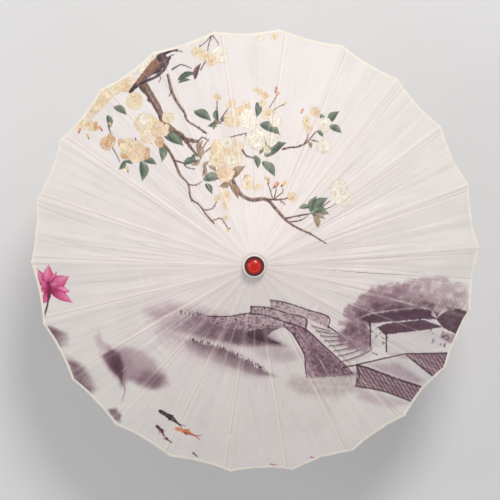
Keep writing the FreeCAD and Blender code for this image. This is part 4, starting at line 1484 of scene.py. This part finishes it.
# %% Upright wood
def upright_wood(name, colours, roughness, fineness, length, coat, rings):
    """Wood with its grain up the pole. rings are heights where bamboo shows its joints."""
    finish = Finish(name, roughness, Specular_IOR_Level=0.45, Coat_Weight=coat, Coat_Roughness=0.12)
    spot = finish.place()
    warped = finish.noise(spot, 35, 2, 0.5)
    streak = finish.noise(finish.scaled(spot, (fineness, fineness, length)), 1.0, 4, 0.62, 0.6)
    pore = finish.noise(finish.scaled(spot, (fineness * 4, fineness * 4, length * 6)), 1.0, 1, 0.5)
    shade = finish.calc("MULTIPLY_ADD", warped, 0.35, finish.calc("MULTIPLY", streak, 0.65))
    colour = finish.ramp(shade, *zip((0.32, 0.47, 0.62), colours))
    colour = finish.mix(finish.ramp(pore, (0.24, 0.5), (0.36, 0.0)), colour,
                        tuple(0.35 * c for c in colours[0]))
    for height in rings:
        level = finish.calc("ABSOLUTE", finish.calc("SUBTRACT", finish.split(spot)[2], height))
        band = finish.ramp(finish.calc("MULTIPLY", level, 160), (0.0, 0.8), (0.10, 0.15), (0.5, 0.0))
        colour = finish.mix(band, colour, tuple(0.4 * c for c in colours[0]))
    rough = finish.ramp(streak, (0.3, roughness + 0.08), (0.7, roughness - 0.05))
    return finish.use(colour, rough, streak, strength=0.4)


# For each wood: dark, middle and pale tone, roughness, fineness, streak length and varnish.
woods = {
    "shaft_bamboo": (((0.60, 0.43, 0.24), (0.77, 0.61, 0.38), (0.86, 0.73, 0.50)), 0.38, 500, 6, 0.25),
    "handle_wood": (((0.24, 0.12, 0.07), (0.38, 0.20, 0.11), (0.49, 0.28, 0.16)), 0.34, 330, 8, 0.5),
    "cap_wood": (((0.12, 0.07, 0.05), (0.20, 0.12, 0.08), (0.27, 0.17, 0.11)), 0.36, 330, 40, 0.4),
    "notch_wood": (((0.46, 0.31, 0.18), (0.60, 0.43, 0.27), (0.70, 0.53, 0.35)), 0.5, 360, 24, 0.0),
    "runner_wood": (((0.44, 0.29, 0.17), (0.58, 0.41, 0.25), (0.68, 0.51, 0.33)), 0.46, 360, 20, 0.1),
    "pin_bamboo": (((0.55, 0.40, 0.24), (0.74, 0.60, 0.40), (0.84, 0.72, 0.52)), 0.5, 900, 900, 0.0),
}
shaft_joints = (0.158, 0.262, 0.425)
finishes = {}
for name, (tones, roughness, fineness, length, coat) in woods.items():
    finishes[name] = upright_wood(name, [light_colour(*tone) for tone in tones], roughness, fineness, length,
                                  coat, rings=shaft_joints if name == "shaft_bamboo" else ())
print("woods are ready")

# %% [markdown]
# ## Cream cup, red bead
# The cup is polished and slightly aged, so its tone drifts and it has small dull specks. Its inner
# wall beside the bead is painted dark red, as painted shade in the gap round the bead. The bead's
# lacquer is a clear red on the polished flat, with a painted highlight as a brighter orange-red ring
# on the step round it, and painted shade that deepens it to wine red towards the skirt.

# %% Cup and bead
cream = Finish("crown_cream", 0.34, Specular_IOR_Level=0.5, Coat_Weight=0.25, Coat_Roughness=0.2,
               Subsurface_Weight=0.12, Subsurface_Scale=0.002)
spot = cream.place()
drift = cream.noise(cream.scaled(spot, (90, 90, 240)), 1.0, 3, 0.6)
specks = cream.noise(spot, 900, 2, 0.5)
ivory = cream.ramp(drift, (0.3, light_colour(0.93, 0.88, 0.84)), (0.55, light_colour(0.965, 0.935, 0.905)),
                   (0.8, light_colour(0.985, 0.97, 0.95)))
ivory = cream.mix(cream.ramp(specks, (0.24, 0.35), (0.34, 0.0)), ivory, light_colour(0.70, 0.60, 0.50))
x, y, level = cream.split(spot)
cup_radius = cream.from_pole(x, y)
# Painted shade: the cup's inner wall above its foot is coloured dark red where the gap round the bead lies in
# shadow.
inner = cream.ramp(cream.calc("MULTIPLY", cup_radius, 50), (0.842, 0.92), (0.866, 0.0))
above_foot = cream.ramp(cream.calc("MULTIPLY_ADD", level, 100, -53.3), (0.0, 0.0), (0.06, 1.0))
painted_gap_shade = cream.calc("MULTIPLY", inner, above_foot)
ivory = cream.mix(painted_gap_shade, ivory, light_colour(0.55, 0.12, 0.16))
cream.use(ivory, relief=drift, depth=0.0002, strength=0.25)

red = Finish("bead_red", 0.30, Specular_IOR_Level=0.3, Coat_Weight=0.22, Coat_Roughness=0.10)
spot = red.place()
x, y, _ = red.split(spot)
from_pole = red.from_pole(x, y)
cloudy = red.noise(spot, 220, 3, 0.6)
wobble = red.calc("MULTIPLY_ADD", cloudy, 0.0012, from_pole)
# Painted light on the bead: a brighter orange-red ring is a highlight on the step, and painted shade deepens
# to wine red and dark maroon towards the skirt.
lacquer_and_painted_light = red.ramp(red.calc("MULTIPLY", wobble, 60), (0.40, light_colour(0.76, 0.12, 0.07)),
                   (0.47, light_colour(0.78, 0.14, 0.08)), (0.51, light_colour(0.90, 0.27, 0.17)),
                   (0.58, light_colour(0.84, 0.18, 0.12)), (0.76, light_colour(0.62, 0.07, 0.09)),
                   (0.88, light_colour(0.30, 0.03, 0.12)))
scuff = red.noise(red.scaled(spot, (1600, 400, 1600)), 1.0, 2, 0.5)
red.use(lacquer_and_painted_light, red.ramp(scuff, (0.35, 0.16), (0.75, 0.34)), cloudy, depth=0.00015, strength=0.3)

# %% [markdown]
# ## Thread and metal
# The thread is waxed cotton with a fine twist. The catch is a strip of spring steel, the small
# pins are drawn wire, and the screw is plain steel. Metal gets brushed streaks and a few dull
# spots, which is how it looks in use.

# %% Thread and metal
wax = Finish("waxed_thread", 0.6, Specular_IOR_Level=0.3)
strands = wax.noise(wax.scaled(wax.place(), (2600, 2600, 5200)), 1.0, 2, 0.6)
wax.use(wax.ramp(strands, (0.3, light_colour(0.62, 0.50, 0.33)), (0.7, light_colour(0.86, 0.77, 0.58))),
        relief=strands, depth=0.0001, strength=0.6)


def worked_metal(name, colour, roughness, streaks):
    """Steel with streaks along the given directions."""
    finish = Finish(name, roughness, Metallic=1.0)
    spot = finish.place()
    brushed = finish.noise(finish.scaled(spot, streaks), 1.0, 3, 0.6)
    dull = finish.noise(spot, 180, 4, 0.65)
    shade = finish.mix(finish.ramp(dull, (0.55, 0.0), (0.72, 0.5)), colour, light_colour(0.33, 0.27, 0.22))
    rough = finish.calc("MULTIPLY_ADD", brushed, 0.22, roughness - 0.1)
    return finish.use(shade, rough, brushed, depth=0.00004, strength=0.35)


finishes["catch_steel"] = worked_metal("catch_steel", light_colour(0.70, 0.69, 0.67), 0.32, (1800, 1800, 60))
finishes["pin_steel"] = worked_metal("pin_steel", light_colour(0.66, 0.64, 0.60), 0.36, (300, 300, 2400))
finishes["screw_steel"] = worked_metal("screw_steel", light_colour(0.72, 0.70, 0.66), 0.34, (900, 900, 2800))

# %% [markdown]
# ## Putting the finishes on
# New pieces and the frame's own pieces take their finish by name. The record says which slot
# each piece of the frame belongs to, so one table is enough.

# %% Assign every finish
finishes.update({
    "thread": wax.material, "crown_cream": cream.material, "bead_red": red.material,
    "oiled_paper": paper.material, "rim_cotton": cotton.material,
    "rib_bamboo": rib_bamboo, "stretcher_bamboo": stretcher_bamboo,
})


def dress(piece, material):
    """Give a piece one finish in place of whatever it had."""
    if not piece.material_slots:
        piece.data.materials.append(material)
    for holder in piece.material_slots:
        holder.material = material


for piece in paper_pieces + hem_tips + hem_halves + threads + [handle, handle_cap, crown_cup, finial_bead]:
    dress(piece, finishes[piece["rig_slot"]])
for part in frame["record"]["subparts"]:
    dress(frame["nodes"][part["node"]], finishes[part["material_slot"]])
print(len(finishes), "finishes")

# %% [markdown]
# # Light, floor and view
# A pale floor lies under the handle. A wide soft light hangs overhead and a little to one side,
# so that the slopes facing it are brighter than those facing away, and the ribs cast thin soft
# shadows. A weaker light from the left and the pale world fill in the rest.

# %% Floor
floor = mesh_object("studio_floor", np.array([(-3, -3, 0), (3, -3, 0), (3, 3, 0), (-3, 3, 0)], float),
                    np.array([[0, 1, 2, 3]]))
floor_paint = Finish("studio_floor", 0.9, Specular_IOR_Level=0.1)
even = floor_paint.noise(floor_paint.place(), 3, 2, 0.5)
dress(floor, floor_paint.use(floor_paint.ramp(even, (0.3, (0.83, 0.83, 0.83)), (0.7, (0.86, 0.86, 0.86)))))


# %% Lights and world
def soft_light(name, place, aim, size, power, colour=(1.0, 1.0, 1.0)):
    """A square area light that faces a point."""
    lamp = bpy.data.lights.new(name, "AREA")
    lamp.shape, lamp.size, lamp.energy, lamp.color = "DISK", size, power, colour
    piece = bpy.data.objects.new(name, lamp)
    piece.location = place
    piece.rotation_euler = (Vector(aim) - Vector(place)).to_track_quat("-Z", "Y").to_euler()
    bpy.context.scene.collection.objects.link(piece)
    return piece


middle = Vector((0, 0, 0.45))
soft_light("key_overhead", (0.5, 1.7, 2.7), middle, 0.8, 41, (1.0, 0.978, 0.96))
soft_light("fill_left", (-2.2, 0.5, 1.9), middle, 1.2, 8.5, (1.0, 0.98, 0.96))
world = bpy.data.worlds.new("studio")
world.use_nodes = True
sky = world.node_tree.nodes["Background"].inputs
sky["Color"].default_value = (0.98, 0.985, 1.0, 1.0)
sky["Strength"].default_value = 0.48
bpy.context.scene.world = world
bpy.context.scene.view_settings.view_transform = "Standard"
print("lights are on")

# %% [markdown]
# The camera looks almost straight down on the open umbrella, from two and a half metres above
# its rim. It leans a few degrees, so the crown sits a little below the middle of the paper.

# %% Camera
lean, sideways, roll, distance = math.radians(6.9), math.radians(0.6), math.radians(-1.9), 2.45
rim_middle = Vector((0, 0, canopy_low.z))
back = Vector((math.sin(sideways), math.sin(lean), math.cos(lean))).normalized()
above = back.cross(Vector((1, 0, 0))).normalized()
right = above.cross(back)
turned_right = right * math.cos(roll) + above * math.sin(roll)
turned_above = back.cross(turned_right)
camera_data = bpy.data.cameras.new("studio_camera")
camera_data.sensor_width = 36
camera_data.lens = 98.5 * distance / 2.5
camera = bpy.data.objects.new("studio_camera", camera_data)
axes = Matrix((turned_right, turned_above, back)).transposed().to_4x4()
framing = turned_right * -0.0084 + turned_above * 0.0089
camera.matrix_world = Matrix.Translation(rim_middle + framing + back * distance) @ axes
bpy.context.scene.collection.objects.link(camera)
bpy.context.scene.camera = camera
print("lens", round(camera_data.lens, 1), "mm")
